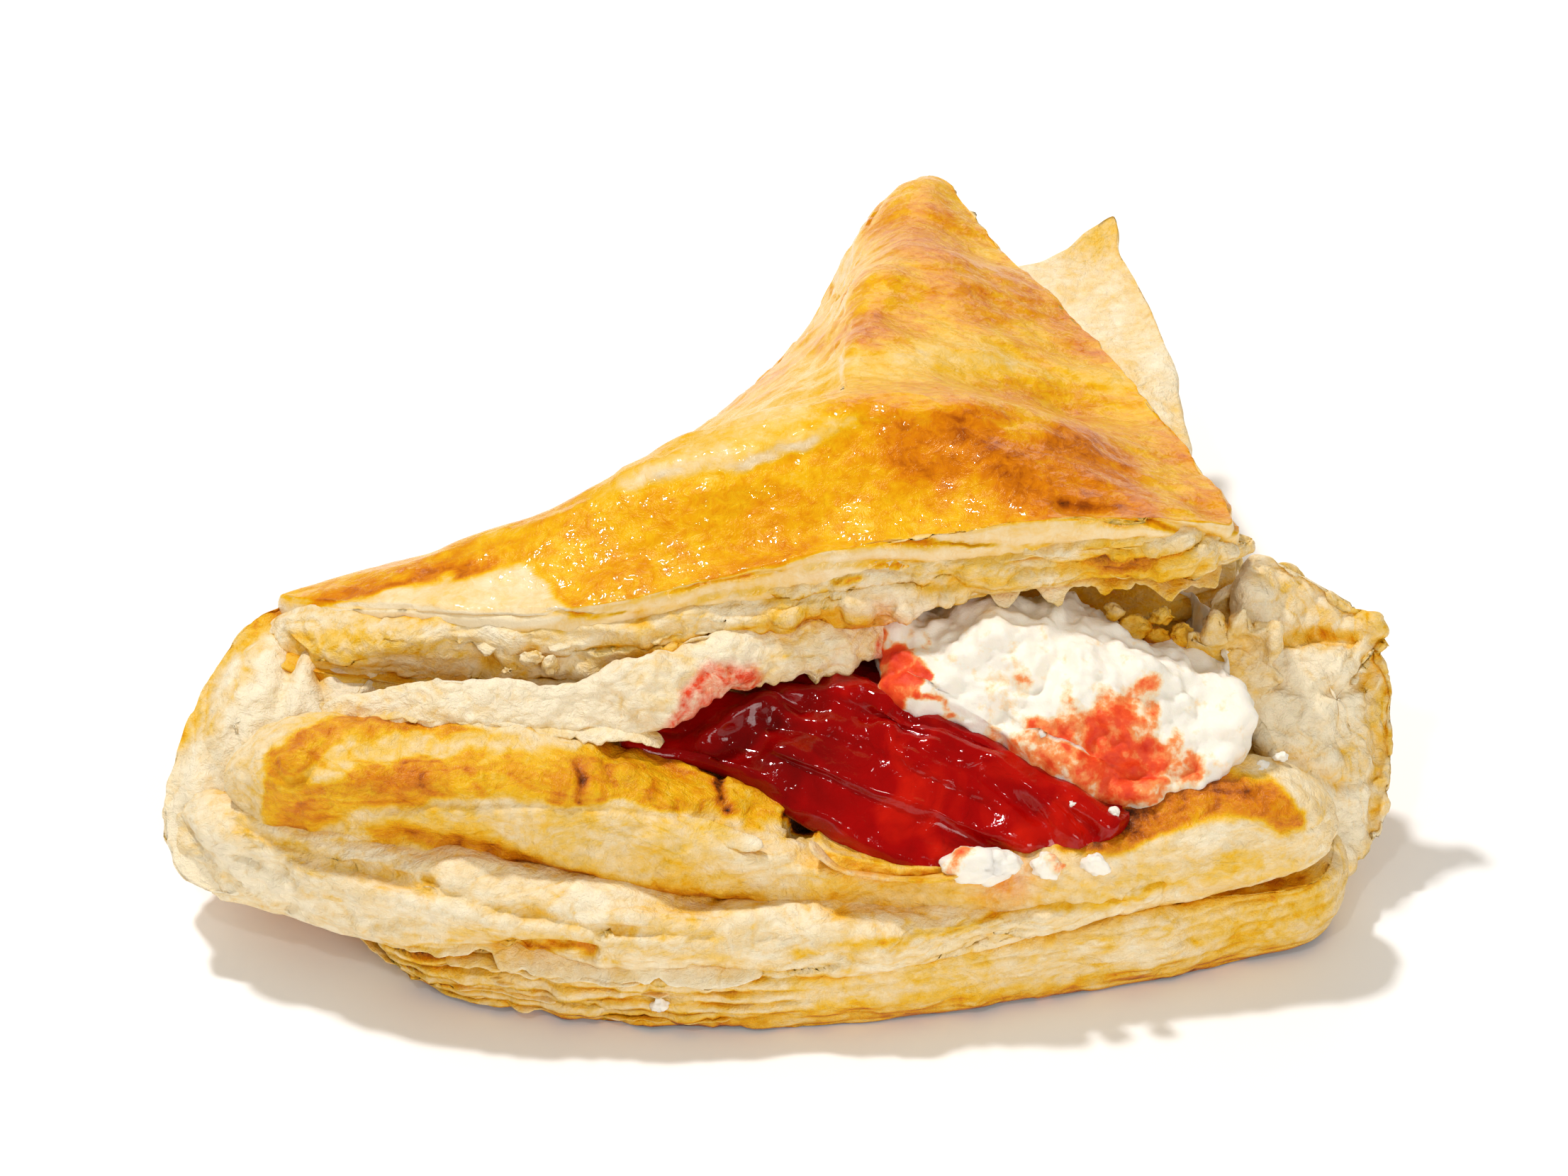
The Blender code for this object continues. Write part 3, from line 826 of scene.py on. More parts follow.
# lines that are both shaped and coloured; the sunk crease is darkened with painted shade
lidCrease = [(30.2, 9.0), (37.9, 8.0), (44.8, 5.7), (48.3, 4.2)]
lidLook = {
    "rim": [
        (-52.5, -19, 24, 6), (-45, -25, 27.5, 6), (-30, -30, 30.5, 5.5), (-18, -32, 32, 5.5),
        (-5, -30.5, 34.5, 6), (8, -29, 37, 5.5), (22, -28.5, 39.5, 4.5), (34, -28, 40.5, 4),
        (41.5, -26, 38.5, 4), (46.3, -22, 36, 4.5), (43.5, -8, 34, 6), (38.5, 8, 32.5, 6),
        (33.5, 22, 31, 6), (26.5, 38, 29.5, 6), (21.5, 52, 28.5, 6), (17, 58, 27.5, 7), (10, 57, 22, 11),
        (4, 49, 14, 13), (-4, 39, 9, 13), (-13, 26, 8.5, 13), (-23, 12.5, 8.5, 12), (-36, -3, 13, 12),
        (-47, -12.5, 19.5, 9),
    ],
    "centre": (6, -9, 36, 19.6),
    "crown": 1.3,
    "around": 540,
    "rows": 26,
    "caps": 110,
    "rounded": 0.7,
    "bumps": [
        (-21, -9, 13, -2.0), (-33, -14, 11, -2.5), (8, 8, 9, -1.5), (20, 28, 9, 1.8), (14, 52, 7, 2.0),
        (28, -18, 12, 0.6),
    ],
    "ridges": [
        ([(-30, -20, 0), (-17, -17, 0), (-4, -16.5, 0), (6, -14, 0), (16, -12, 0), (30, -10, 0)], 4.5, 1.0),
        ([(-24, -8, 0), (-8, -6, 0), (8, -3, 0), (24, 0, 0), (34, 2, 0)], 5.0, -1.3),
        ([(12, 14, 0), (14, 24, 0), (10, 34, 0)], 3.5, -0.7),
    ],
    "press": {
        "lines": [
            ([(-16.9, 12.1), (-10.1, 13.7), (-3.8, 14.4), (1.5, 16.2), (7.2, 18.8)], 1.3, 0.5),
            ([(-15.8, 10.7), (-8.9, 12.4), (-2.8, 13.2), (2.6, 15.0)], 1.2, -0.4),
            (lidCrease, 0.8, -0.8),
        ],
    },
    "blisters": {"count": 90, "size": (1.6, 4.2), "lift": 0.07, "seed": 41},
    "layers": {"pitch": 2.6, "stand": 0.4, "deep": 0.7, "open": -0.1, "seed": 24, "wander": 2.4},
    "waves": [(12, 0.55, 37), ((7, 3, 4), 0.22, 38), (1.8, 0.05, 39)],
    "finish": {
        "bake": 0.16,
        "top": 0.39,
        # painted shade on the lid's underside
        "under": 0.16,
        "mottle": 0.07,
        "slitShade": 0.3,
        "areas": [
            ([
                (-57.3, -3.1), (-50.7, -1.7), (-45.0, -0.8), (-38.1, 0.7), (-31.9, 2.0), (-27.7, 2.3),
                (-25.4, -0.2), (-23.3, -2.8), (-31.2, -5.4), (-50.3, -6.2),
            ], 0.8, -0.36),
            ([(11.1, 16.8), (18.0, 19.5), (24.1, 18.8), (23.3, 14.5), (17.2, 11.5), (11.8, 12.2)], 3.0, 0.14),
            ([(22.6, 14.5), (31.8, 18.4), (37.9, 14.5), (41.0, 8.4), (30.2, 8.4), (21.0, 9.9)], 3.5, 0.2),
            ([(7.6, 30.1), (10.6, 30.7), (11.1, 24.3), (8.4, 23.8)], 2.0, 0.1),
            ([(5.7, 43.3), (9.5, 43.9), (18.3, 36.8), (22.6, 29.9), (17.2, 33.0), (8.7, 38.3)], 2.5, 0.06),
            # painted sheen: paler over the lid's ridge
            ([
                (-18.9, 10.7), (-8.1, 17.6), (3.4, 23.8), (4.1, 17.6), (-4.3, 14.5), (-11.2, 12.6),
            ], 3.0, -0.14),
        ],
        "lines": [
            # painted sheen: paler along the ridge and along the band behind it (this line and the next)
            ([(-16.9, 11.6), (-10.1, 13.2), (-3.8, 13.9), (1.5, 15.7), (3.8, 16.6), (7.2, 18.4)], 0.9, -0.2),
            ([(2.9, 23.8), (14.9, 24.9), (26.4, 24.1), (35.8, 22.6)], 1.5, -0.16),
            # painted shade in the sunk crease
            (lidCrease, 0.8, 0.14),
            ([(-51.1, -1.2), (-45.0, -0.0), (-38.1, 1.5), (-31.9, 2.6)], 0.9, 0.2),
        ],
        "spots": [(30, 20, 36, 10, 0.04)],
    },
}
lid = sheetOf("lid", lidLook)
wrinkle(lid, lidLook)
press(lid, lidLook["press"])
blister(lid, lidLook["blisters"])
paint(lid, lidLook["finish"], flakeLayers(lid, lidLook["layers"]))
dress(lid, glazedCrust)

lipLook = {
    "spine": [
        (-54, -20, 22.5, 3, 4, 0), (-44, -25, 25, 3.5, 5, 0), (-30, -28, 27, 4, 5, 0),
        (-18, -29, 28.5, 4, 5, 0), (-5, -27.5, 31, 4, 5, 0), (8, -25.5, 33.5, 4, 5, 0),
        (20, -24.5, 36, 3.5, 5, 0), (32, -24, 37, 3, 5, 0), (42, -22, 35.5, 3, 4, 0),
        (49, -18, 33, 2.5, 3, 0),
    ],
    "along": 300,
    "around": 100,
    "layers": {
        "pitch": 3.1,
        "stand": 1.1,
        "deep": 1.0,
        "open": 0.1,
        "seed": 25,
        "wander": 4.5,
        "curl": 0.6,
    },
    "peel": {"reach": (16, 8, 6), "sheets": 3.0, "thick": 0.26, "seed": 152, "footShade": 0.5},
    "waves": [((16, 8, 3), 0.8, 43), ((7, 4, 1.6), 0.45, 42), (1.6, 0.2, 44)],
    "finish": {
        "bake": 0.12,
        # painted shade on the lip's underside
        "under": 0.2,
        "mottle": 0.12,
        "slitShade": 0.25,
        "areas": [
            # painted shade in the hollow under the lid's right side (this area and the next)
            ([
                (17.2, 2.3), (24.1, 4.6), (30.2, 3.4), (37.9, 5.0), (45.6, 3.0), (48.7, -0.8), (41.7, -5.4),
                (22.6, -3.1),
            ], 2.0, 0.12),
            ([(28.7, 3.0), (41.0, 3.4), (42.5, -3.1), (33.3, -3.9)], 1.5, 0.1),
        ],
        "lines": [
            ([(-41.9, -3.3), (-35.8, -3.0), (-29.6, -2.5), (-24.3, -3.9)], 0.9, 0.22),
            ([(-52.6, -5.4), (-43.4, -5.8), (-34.2, -7.3), (-28.1, -9.2)], 0.9, 0.16),
            ([(-16.2, -8.1), (-6.6, -5.4), (-1.6, -3.9), (10.3, -4.0)], 0.9, 0.25),
            ([(5.3, 0.6), (8.1, 1.3)], 0.35, 0.45),
        ],
        # painted shade under the lid's right edge
        "spots": [(34, -24, 33, 14, 0.08)],
        "stains": [(10, -29, 29, 3.5, 0.8)],
    },
}
lip = rollOf("lip", lipLook)
wrinkle(lip, lipLook)
lipSlitShade = flakeLayers(lip, lipLook["layers"])
paint(lip, lipLook["finish"], np.maximum(lipSlitShade, peel(lip, lipLook["peel"])))
dress(lip, bakedDough)
print("lid is made")


# Front folds: a fat roll with a golden back, a pleat below it, a thin tongue, and the left side's sheet

# lines that are both shaped and coloured; the sunk cracks are darkened with painted shade
leftCrack = [(-22.6, -18.6), (-21.8, -20.5), (-22.1, -22.9)]
rightCrack = [(-19.6, -18.8), (-18.7, -21.5)]
tornRim = [(3.4, -25.4), (4.5, -28.4), (9.5, -30.1), (14.9, -30.7), (18.3, -30.3)]
rimRollLook = {
    "spine": [
        (-55.5, -41.5, 19.2, 5.2, 4.8, 0), (-46, -43, 20, 6, 6, 0), (-34, -43.5, 20, 6, 6.5, 0),
        (-22, -44, 19, 5.8, 6.5, 0), (-10, -46, 16.5, 5, 6, 0), (3, -47.5, 13.5, 4.5, 5.5, 0),
        (16, -47.5, 12.5, 4.2, 5, 0), (28, -45.5, 13, 4.5, 5.5, 0), (40, -43, 14, 5, 6, 0),
        (50, -40.5, 14.5, 4.8, 6, 0), (56, -38.5, 14, 3.5, 4, 0),
    ],
    "along": 360,
    "around": 160,
    "square": 0.5,
    "blunt": 26,
    "press": {
        "areas": [
            ([
                (-18.4, -18.3), (-15.4, -17.4), (-7.2, -20.6), (-6.8, -24.4), (-12.7, -23.8),
                (-17.0, -21.5),
            ], 0.4, 0.5),
            ([(-6.4, -20.3), (-2.0, -20.8), (4.8, -23.8), (-0.8, -25.2), (-6.3, -23.8)], 0.4, 0.6),
            ([(-0.2, -24.6), (1.8, -24.1), (3.4, -24.9), (3.1, -26.6), (0.6, -26.4)], 0.6, -2.6),
            ([(-54.6, -18.5), (-52.6, -17.3), (-51.1, -18.5), (-51.9, -20.1), (-54.2, -20.1)], 1.0, 0.7),
        ],
        "lines": [
            (leftCrack, 0.5, -0.5),
            (rightCrack, 0.4, -0.4),
            ([(-52.6, -20.0), (-46.5, -17.8), (-37.3, -16.5), (-26.6, -17.2)], 1.3, -0.5),
            ([
                (-54.8, -27.7), (-50.3, -26.0), (-43.1, -23.8), (-35.8, -23.4), (-23.3, -23.7),
                (-7.4, -25.2),
            ], 0.7, -0.5),
            ([
                (-43.4, -26.6), (-37.3, -27.8), (-29.9, -29.2), (-23.3, -31.7), (-16.7, -33.5),
                (-4.1, -35.2),
            ], 1.0, -0.7),
            (tornRim, 0.6, 0.6),
        ],
    },
    "peel": {"reach": (18, 9, 7), "sheets": 2.2, "thick": 0.14, "seed": 153},
    "waves": [((18, 9, 7), 0.9, 45), ((7, 3, 3), 0.35, 46), (2.4, 0.22, 47), (1.1, 0.1, 48)],
    "finish": {
        "bake": 0.14,
        "slitShade": 0.1,
        "mottle": 0.08,
        "areas": [
            ([
                (-55.0, -27.5), (-43.5, -23.9), (-23.0, -23.6), (-7.0, -25.4), (15.0, -31.0), (30.0, -31.5),
                (55.0, -27.0), (56.0, -31.0), (30.0, -34.5), (-4.0, -35.5), (-17.0, -33.8), (-40.0, -28.0),
            ], 1.5, 0.1),
            ([
                (-55.7, -18.2), (-53.0, -15.4), (-49.6, -14.0), (-41.9, -13.1), (-35.8, -14.2),
                (-31.2, -15.8), (-23.5, -17.1), (-15.4, -16.6), (-11.2, -18.5), (-2.0, -20.4), (4.9, -23.8),
                (-0.5, -25.4), (-7.4, -24.8), (-15.8, -23.5), (-23.3, -23.2), (-35.8, -22.9),
                (-43.1, -23.4), (-50.3, -25.8), (-54.8, -27.7), (-56.5, -24.6), (-56.3, -20.8),
            ], 0.9, 0.37),
            ([
                (-52.6, -20.1), (-48.8, -17.4), (-41.9, -15.7), (-35.8, -15.7), (-28.1, -16.6),
                (-25.0, -17.5), (-31.2, -18.0), (-38.8, -18.0), (-46.5, -19.5), (-51.1, -21.7),
            ], 0.8, -0.26),
            ([
                (29.5, -28.1), (34.1, -24.6), (41.0, -21.7), (46.4, -19.4), (52.5, -20.8), (56.5, -24.3),
                (56.2, -26.6), (50.2, -25.2), (42.5, -26.0), (36.4, -28.7),
            ], 1.6, 0.6),
            # painted shadow in the hole under the broken crust
            ([(-0.5, -24.4), (1.8, -24.0), (3.8, -24.8), (3.4, -26.7), (0.5, -26.6)], 0.4, 0.9),
        ],
        "lines": [
            ([(-54.2, -25.4), (-50.3, -23.1), (-41.9, -21.1), (-35.8, -20.6), (-29.6, -20.0)], 1.4, 0.05),
            # painted shade in the crease below the roll
            ([
                (-43.4, -26.1), (-37.3, -27.5), (-29.9, -28.9), (-23.3, -31.4), (-16.7, -33.2),
                (-4.1, -34.9),
            ], 1.3, 0.34),
            # painted shade in the two cracks
            (leftCrack, 0.5, 0.2),
            (rightCrack, 0.4, 0.16),
            ([(-15.4, -17.5), (-11.2, -19.4), (-7.0, -20.6)], 0.5, 0.16),
            # painted shade in the crack between the crust plates and under the crust's edge by the hole (this
            # line and the next)
            ([(-7.0, -20.1), (-6.6, -24.2)], 0.35, 0.4),
            ([(-6.6, -24.6), (-2.0, -26.0), (-0.1, -26.9)], 0.5, 0.3),
            (tornRim, 0.6, 0.12),
        ],
        "stains": [(22, -52, 15, 3, 0.5)],
    },
}
rimRoll = rollOf("rimRoll", rimRollLook)
wrinkle(rimRoll, rimRollLook)
press(rimRoll, rimRollLook["press"])
paint(rimRoll, rimRollLook["finish"], peel(rimRoll, rimRollLook["peel"]))
dress(rimRoll, bakedDough)

# lines that are both shaped and coloured; each is sunk and darkened with painted shade
longFold = [(-59.6, -25.4), (-52.6, -28.4), (-41.9, -31.5), (-31.2, -34.7), (-18.9, -37.0), (-8.1, -37.8)]
lowSlit = [(-29.0, -39.0), (-25.0, -38.9), (-20.6, -39.5)]
smallPit = [(-39.1, -31.2), (-37.9, -32.0)]
pleatLook = {
    "spine": [
        (-58.5, -27, 15.5, 5, 3.5, 0), (-59.6, -36, 12.8, 6, 3.5, 0), (-55.5, -42, 11.8, 6, 4.5, 0),
        (-48, -45, 12.2, 6, 5, 0), (-39, -48, 12.3, 5.5, 5, 0), (-28, -51, 11.5, 4.5, 5, 0),
        (-12, -53, 10.2, 3.5, 4.5, 0), (3, -53, 9.8, 3, 4, 0), (18, -51, 10, 2.6, 4, 0),
        (32, -47.5, 11, 2.2, 3.5, 0), (43, -44, 12, 2, 3, 0),
    ],
    "along": 330,
    "around": 110,
    "layers": {"pitch": 3.4, "stand": 0.6, "deep": 0.8, "open": -0.1, "seed": 26, "wander": 5.0},
    "press": {
        "lines": [
            (longFold, 0.7, -0.6),
            ([(-18.9, -35.3), (-8.1, -36.1), (3.4, -34.4), (14.1, -30.4)], 0.9, 0.6),
            (lowSlit, 0.5, -1.3),
            ([(-40.8, -41.3), (-34.2, -39.9), (-29.6, -38.4)], 0.5, -0.7),
            (smallPit, 0.4, -0.8),
            ([(-52.6, -30.4), (-45.0, -32.3), (-35.8, -35.3), (-26.6, -36.9)], 1.2, 0.5),
        ],
    },
    "peel": {"reach": (18, 9, 6), "sheets": 2.8, "thick": 0.2, "seed": 154, "footShade": 0.4},
    "waves": [((16, 8, 5), 0.9, 48), ((6, 3, 2.5), 0.4, 49), (1.8, 0.12, 40)],
    "finish": {
        "bake": 0.12,
        "mottle": 0.1,
        "slitShade": 0.35,
        "lines": [
            # painted shade in the sunk fold
            (longFold, 0.6, 0.1),
            ([(-61.9, -27.7), (-57.3, -31.5), (-48.8, -34.6), (-38.8, -37.3)], 2.2, -0.06),
            # painted shade in the sunk slit and pit (this line and the next)
            (lowSlit, 0.5, 0.45),
            (smallPit, 0.4, 0.3),
            ([(-35.8, -36.9), (-26.6, -37.8), (-15.8, -39.2), (-5.1, -40.1)], 0.6, 0.14),
            # painted shade in the groove along the pleat's lower edge
            ([
                (1.0, -39.6), (11.6, -38.4), (23.3, -35.3), (30.2, -34.3), (37.6, -33.3), (44.9, -30.4),
            ], 0.6, 0.3),
        ],
    },
}
pleat = rollOf("pleat", pleatLook)
wrinkle(pleat, pleatLook)
pleatSlitShade = np.maximum(flakeLayers(pleat, pleatLook["layers"]), peel(pleat, pleatLook["peel"]))
press(pleat, pleatLook["press"])
paint(pleat, pleatLook["finish"], pleatSlitShade)
dress(pleat, bakedDough)

tongueLook = {
    "spine": [
        (-47, -36, 25.5, 0.8, 1.5, -42), (-44.5, -38, 25.8, 0.9, 2.2, -42),
        (-33.4, -39, 27.8, 0.9, 2.7, -42), (-21.9, -39, 26.9, 0.9, 2.5, -45),
        (-14.8, -38, 27.4, 1.2, 3.6, -48), (-7.6, -35, 28.8, 1.5, 3.0, -50),
        (-0.4, -32, 28.7, 1.5, 3.1, -50), (6.8, -30, 28.9, 1.4, 3.2, -50),
        (12.5, -28.5, 28.8, 1.2, 2.6, -48),
    ],
    "along": 290,
    "around": 110,
    "ragged": 0.22,
    "length": 66,
    "tear": 1.6,
    "seed": 9,
    "peel": {"reach": (12, 8, 6), "sheets": 2.5, "thick": 0.14, "seed": 155},
    "waves": [((10, 6, 6), 0.5, 50), (3.5, 0.4, 51), (1.2, 0.2, 59)],
    "finish": {
        "bake": -0.02,
        "slitShade": 0.12,
        "mottle": 0.12,
        "stained": [
            ([
                (-12.0, -15.4), (-11.2, -11.2), (-8.1, -8.1), (-3.1, -9.2), (-3.5, -13.1), (-7.4, -15.4),
            ], 2.5, 1.6),
            ([(10.3, -5.8), (13.0, -7.3), (12.0, -9.2), (9.7, -10.4)], 1.2, 1.5),
        ],
    },
}
tongue = rollOf("tongue", tongueLook)
wrinkle(tongue, tongueLook)
paint(tongue, tongueLook["finish"], peel(tongue, tongueLook["peel"]))
dress(tongue, bakedDough)

# the left side is one smooth sheet from the lid's arm down to the table
# lines that are both shaped and coloured; both folds are sunk and darkened with painted shade
innerFold = [(-48.8, -3.9), (-50.2, -9.2), (-49.0, -13.9)]
outerFold = [(-52.3, -3.9), (-54.2, -10.0), (-56.3, -16.9), (-59.6, -23.1)]
leftWrapLook = {
    "rim": [
        (-46, -17, 25.5, 3), (-54, -19.5, 25, 3), (-58.5, -26, 22, 3), (-61.5, -33, 18, 3),
        (-62.8, -39.5, 13, 3), (-61, -44, 9.5, 3), (-56, -46, 8.5, 3), (-50, -45.5, 11, 3),
        (-49, -41, 17, 3), (-45, -35, 22, 3), (-41, -28, 24, 3),
    ],
    "centre": (-53.5, -32, 19.5, 9),
    "up": (-0.5, -0.6, 0.55),
    "crown": 1.0,
    "around": 320,
    "rows": 14,
    "caps": 44,
    "rounded": 0.5,
    "press": {
        "lines": [
            (innerFold, 0.8, -0.9),
            (outerFold, 1.0, -0.7),
            ([(-50.7, -3.9), (-52.2, -10.0), (-54.2, -16.9)], 0.9, 0.6),
            ([(-62.6, -17.7), (-61.9, -22.3), (-62.6, -27.7)], 0.9, -0.6),
        ],
    },
    "peel": {"reach": (9, 9, 14), "sheets": 2.4, "thick": 0.14, "seed": 156},
    "waves": [((9, 9, 14), 0.9, 66), (3.5, 0.25, 67), (1.4, 0.08, 68)],
    "finish": {
        "bake": -0.09,
        "slitShade": 0.1,
        "mottle": 0.07,
        "streaks": [
            ([(-54, -19.5, 26, 0), (-58.5, -26, 23, 0), (-61.5, -33, 19, 0)], 2.0, 0.42),
            ([(-61.5, -33, 19, 0), (-63, -40, 13, 0), (-60, -45, 9.5, 0)], 2.2, 0.1),
        ],
        "lines": [
            # painted shade in the two sunk folds
            (innerFold, 0.8, 0.12),
            (outerFold, 0.8, 0.1),
            ([(-54.8, -2.5), (-57.3, -6.6), (-59.9, -11.2), (-62.0, -15.4)], 1.3, 0.36),
            ([(-54.2, -3.0), (-46.5, -4.3), (-38.8, -3.9)], 1.0, 0.1),
        ],
    },
}
leftWrap = sheetOf("leftWrap", leftWrapLook)
wrinkle(leftWrap, leftWrapLook)
press(leftWrap, leftWrapLook["press"])
paint(leftWrap, leftWrapLook["finish"], peel(leftWrap, leftWrapLook["peel"]))
dress(leftWrap, bakedDough)

print("front folds are made")


# Loose leaves: a blistered flap at the right corner, a torn leaf beside the mouth, a pointed leaf at the back

# lines that are both shaped and coloured; both folds are sunk and darkened with painted shade
topFold = [(53.3, -5.8), (58.6, -5.4), (62.1, -5.9)]
lowerFold = [(53.3, -10.0), (57.9, -11.6), (63.2, -10.0)]
rightFlapLook = {
    "rim": [
        (48, -17, 29.5, 2.5), (56, -18, 27, 2.5), (62, -20.5, 23.2, 2.5), (61.6, -21.5, 21, 2.5),
        (63.3, -22.5, 17, 2.5), (63, -28, 10, 2.5), (61.5, -33, 5.5, 2.5), (57, -38, 4, 2.5),
        (54, -39, 7, 2.5), (50, -34, 15, 2.5), (47, -28, 21, 2.5),
    ],
    "centre": (56, -25, 17, 5),
    "up": (0.35, -0.6, 0.7),
    "crown": 1.0,
    "around": 360,
    "rows": 14,
    "caps": 46,
    "rounded": 0.3,
    "blisters": {"count": 60, "size": (1.2, 3.4), "lift": 0.22, "seed": 42, "facing": (0.35, -0.6, 0.7)},
    "press": {
        "lines": [
            (topFold, 0.7, -1.2),
            (lowerFold, 0.8, -0.7),
            ([(57.1, -20.0), (60.9, -21.5), (64.8, -20.0)], 0.7, -0.6),
            ([(63.6, -9.2), (64.6, -16.9), (63.9, -26.9)], 0.7, -0.7),
        ],
    },
    "calm": {"middle": (56.9, -26.5, 18.7), "reach": 3.0, "times": 40},
    "peel": {"reach": (9, 9, 11), "sheets": 2.6, "thick": 0.18, "seed": 157},
    "waves": [(9, 0.9, 54), (3, 0.5, 55), (1.3, 0.18, 53)],
    "finish": {
        "bake": 0.06,
        "slitShade": 0.14,
        "mottle": 0.16,
        "lines": [
            # painted shade in the sunk folds (this line and the next two)
            (topFold, 0.7, 0.25),
            (lowerFold, 0.7, 0.14),
            ([(63.6, -9.2), (64.6, -16.9), (63.9, -26.9), (60.2, -32.3)], 0.7, 0.1),
            ([(51.7, 1.5), (57.9, -0.7), (63.6, -3.3)], 0.8, 0.14),
        ],
        "streaks": [([(62, -20, 24, 0), (63.5, -24, 16, 0), (62, -33, 6, 0), (57, -38.5, 4, 0)], 2.0, 0.06)],
    },
}
rightFlap = sheetOf("rightFlap", rightFlapLook)
wrinkle(rightFlap, rightFlapLook)
blister(rightFlap, rightFlapLook["blisters"])
press(rightFlap, rightFlapLook["press"])
calmMiddle(rightFlap, rightFlapLook["calm"])
paint(rightFlap, rightFlapLook["finish"], peel(rightFlap, rightFlapLook["peel"]))
dress(rightFlap, bakedDough)

flapRootLook = {
    "rim": [
        (44, -20, 24, 6), (52, -14, 25, 6), (56, -16, 21, 6), (58, -24, 14, 7), (57, -32, 9, 7),
        (50, -32, 14, 6), (44, -26, 20, 6),
    ],
    "centre": (51, -22, 18, 10),
    "around": 240,
    "rows": 26,
    "caps": 20,
    "layers": {"pitch": 1.1, "stand": 0.6, "deep": 0.8, "seed": 28},
    "finish": {"bake": 0.2, "mottle": 0.1, "slitShade": 0.35},
}
plainSheet("flapRoot", flapRootLook)

tornLeafLook = {
    "rim": [
        (41, -27, 23, 0.8), (41.5, -27, 27.5, 0.8), (43, -26.8, 26.2, 0.8), (44, -26.5, 30, 0.8),
        (45.5, -26.5, 27.6, 0.8), (47, -26.5, 30.8, 0.8), (48, -26.8, 27.8, 0.8), (50.8, -27, 29, 0.8),
        (50, -28, 25, 0.8), (51, -28.5, 22.5, 0.8), (47, -29, 20.5, 0.8), (44, -28.5, 21.5, 0.8),
    ],
    "centre": (46, -26.5, 25.5, 1.2),
    "up": (0, -1, 0.3),
    "around": 200,
    "rows": 6,
    "caps": 24,
    "rounded": 0.1,
    "waves": [(4, 0.8, 56), (1.5, 0.4, 52)],
    "finish": {"bake": 0.12, "mottle": 0.1},
}
plainSheet("tornLeaf", tornLeafLook)

backPointLook = {
    "rim": [
        (37.7, 51, 30.6, 1.6), (38.6, 45, 28.5, 2), (41.5, 36, 27, 2.2), (43, 29, 25.5, 2.4),
        (44, 18, 23.5, 2.5), (43, 8, 23, 2.5), (30, 6, 23, 3), (20, 25, 24, 3), (22, 42, 25.5, 3),
        (31, 46, 27.5, 2.2),
    ],
    "centre": (33, 27, 25, 2.4),
    "crown": 2.4,
    "around": 320,
    "rows": 12,
    "caps": 34,
    "rounded": 0.3,
    "waves": [(8, 0.5, 57), (2.5, 0.15, 58)],
    "finish": {"bake": 0.11, "mottle": 0.1, "spots": [(37.7, 50, 30, 5, 0.2)]},
}
plainSheet("backPoint", backPointLook)
print("loose leaves are made")


# Fillings

jamLook = {
    "rim": [
        (-16, -39.5, 22.5, 2.5), (-7, -41.2, 20.4, 3), (2, -46.4, 18.4, 3.5), (10, -50.4, 15.6, 3.5),
        (21, -51, 14.5, 3.5), (29, -50.5, 14.5, 3), (35, -46, 17, 3), (38, -38, 18.5, 4), (36, -20, 20, 5),
        (25, -2, 20, 5), (5, 5, 20, 5), (-10, -6, 20, 5), (-16, -22, 21, 5), (-17.5, -33, 22.5, 4),
    ],
    "centre": (8, -29, 20, 10),
    "around": 360,
    "rows": 16,
    "caps": 50,
    "rounded": 1.2,
    "bumps": [(-2, -37, 6, 1.4), (14, -44, 5, 1.0)],
    "ridges": [([(5, -37, 0), (14, -41, 0), (24, -44, 0), (32, -47, 0)], 2.6, 1.2)],
    "strandTurn": 22,
    "strands": [((16, 3.2, 9), 1.0, 61), ((7, 1.5, 4), 0.45, 62)],
    "sink": 0.3,
    "lobe": {"x": -1, "y": -39, "reach": 9, "deep": 0.35, "deeper": 0.45},
    "press": {
        "lines": [
            ([(-8.1, -16.2), (-3.5, -12.9), (3.4, -11.6), (11.1, -13.5)], 1.1, 1.2),
            ([(5.7, -10.4), (13.4, -13.1), (22.6, -17.7), (30.2, -22.3), (34.8, -25.4)], 1.1, 1.2),
            ([(10.3, -14.6), (18.7, -17.7), (25.6, -21.5), (31.8, -26.9)], 1.0, 1.2),
            ([(-0.5, -17.7), (7.2, -20.8), (17.2, -24.6), (26.4, -27.7)], 1.2, 1.2),
            ([(-1.2, -14.6), (5.7, -16.2), (13.4, -19.6), (22.6, -23.8)], 1.2, -1.0),
            ([(12.6, -16.2), (21.0, -20.0), (28.7, -25.4)], 0.7, -0.8),
        ],
    },
    "waves": [(3, 0.25, 60)],
}
jam = sheetOf("jam", jamLook)
strandTurn = math.radians(jamLook["strandTurn"])
jamPoints, jamWays = pointsOf(jam), waysOf(jam)
strands = np.column_stack(
    [
        jamPoints[:, 0] * math.cos(strandTurn) - jamPoints[:, 1] * math.sin(strandTurn),
        jamPoints[:, 0] * math.sin(strandTurn) + jamPoints[:, 1] * math.cos(strandTurn),
        jamPoints[:, 2],
    ]
)
strandLift = sum(height * grain(strands, reach, seed) for reach, height, seed in jamLook["strands"])
movePoints(jam, jamPoints + jamWays * (strandLift - jamLook["sink"])[:, None])
press(jam, jamLook["press"])
wrinkle(jam, jamLook)
lobe = jamLook["lobe"]
lobeGap = np.hypot(jamPoints[:, 0] - lobe["x"], jamPoints[:, 1] - lobe["y"]) / lobe["reach"]
keepNumber(jam, "deep", lobe["deep"] + lobe["deeper"] * np.exp(-lobeGap * lobeGap))
dress(jam, redJam, "fruit_jam")

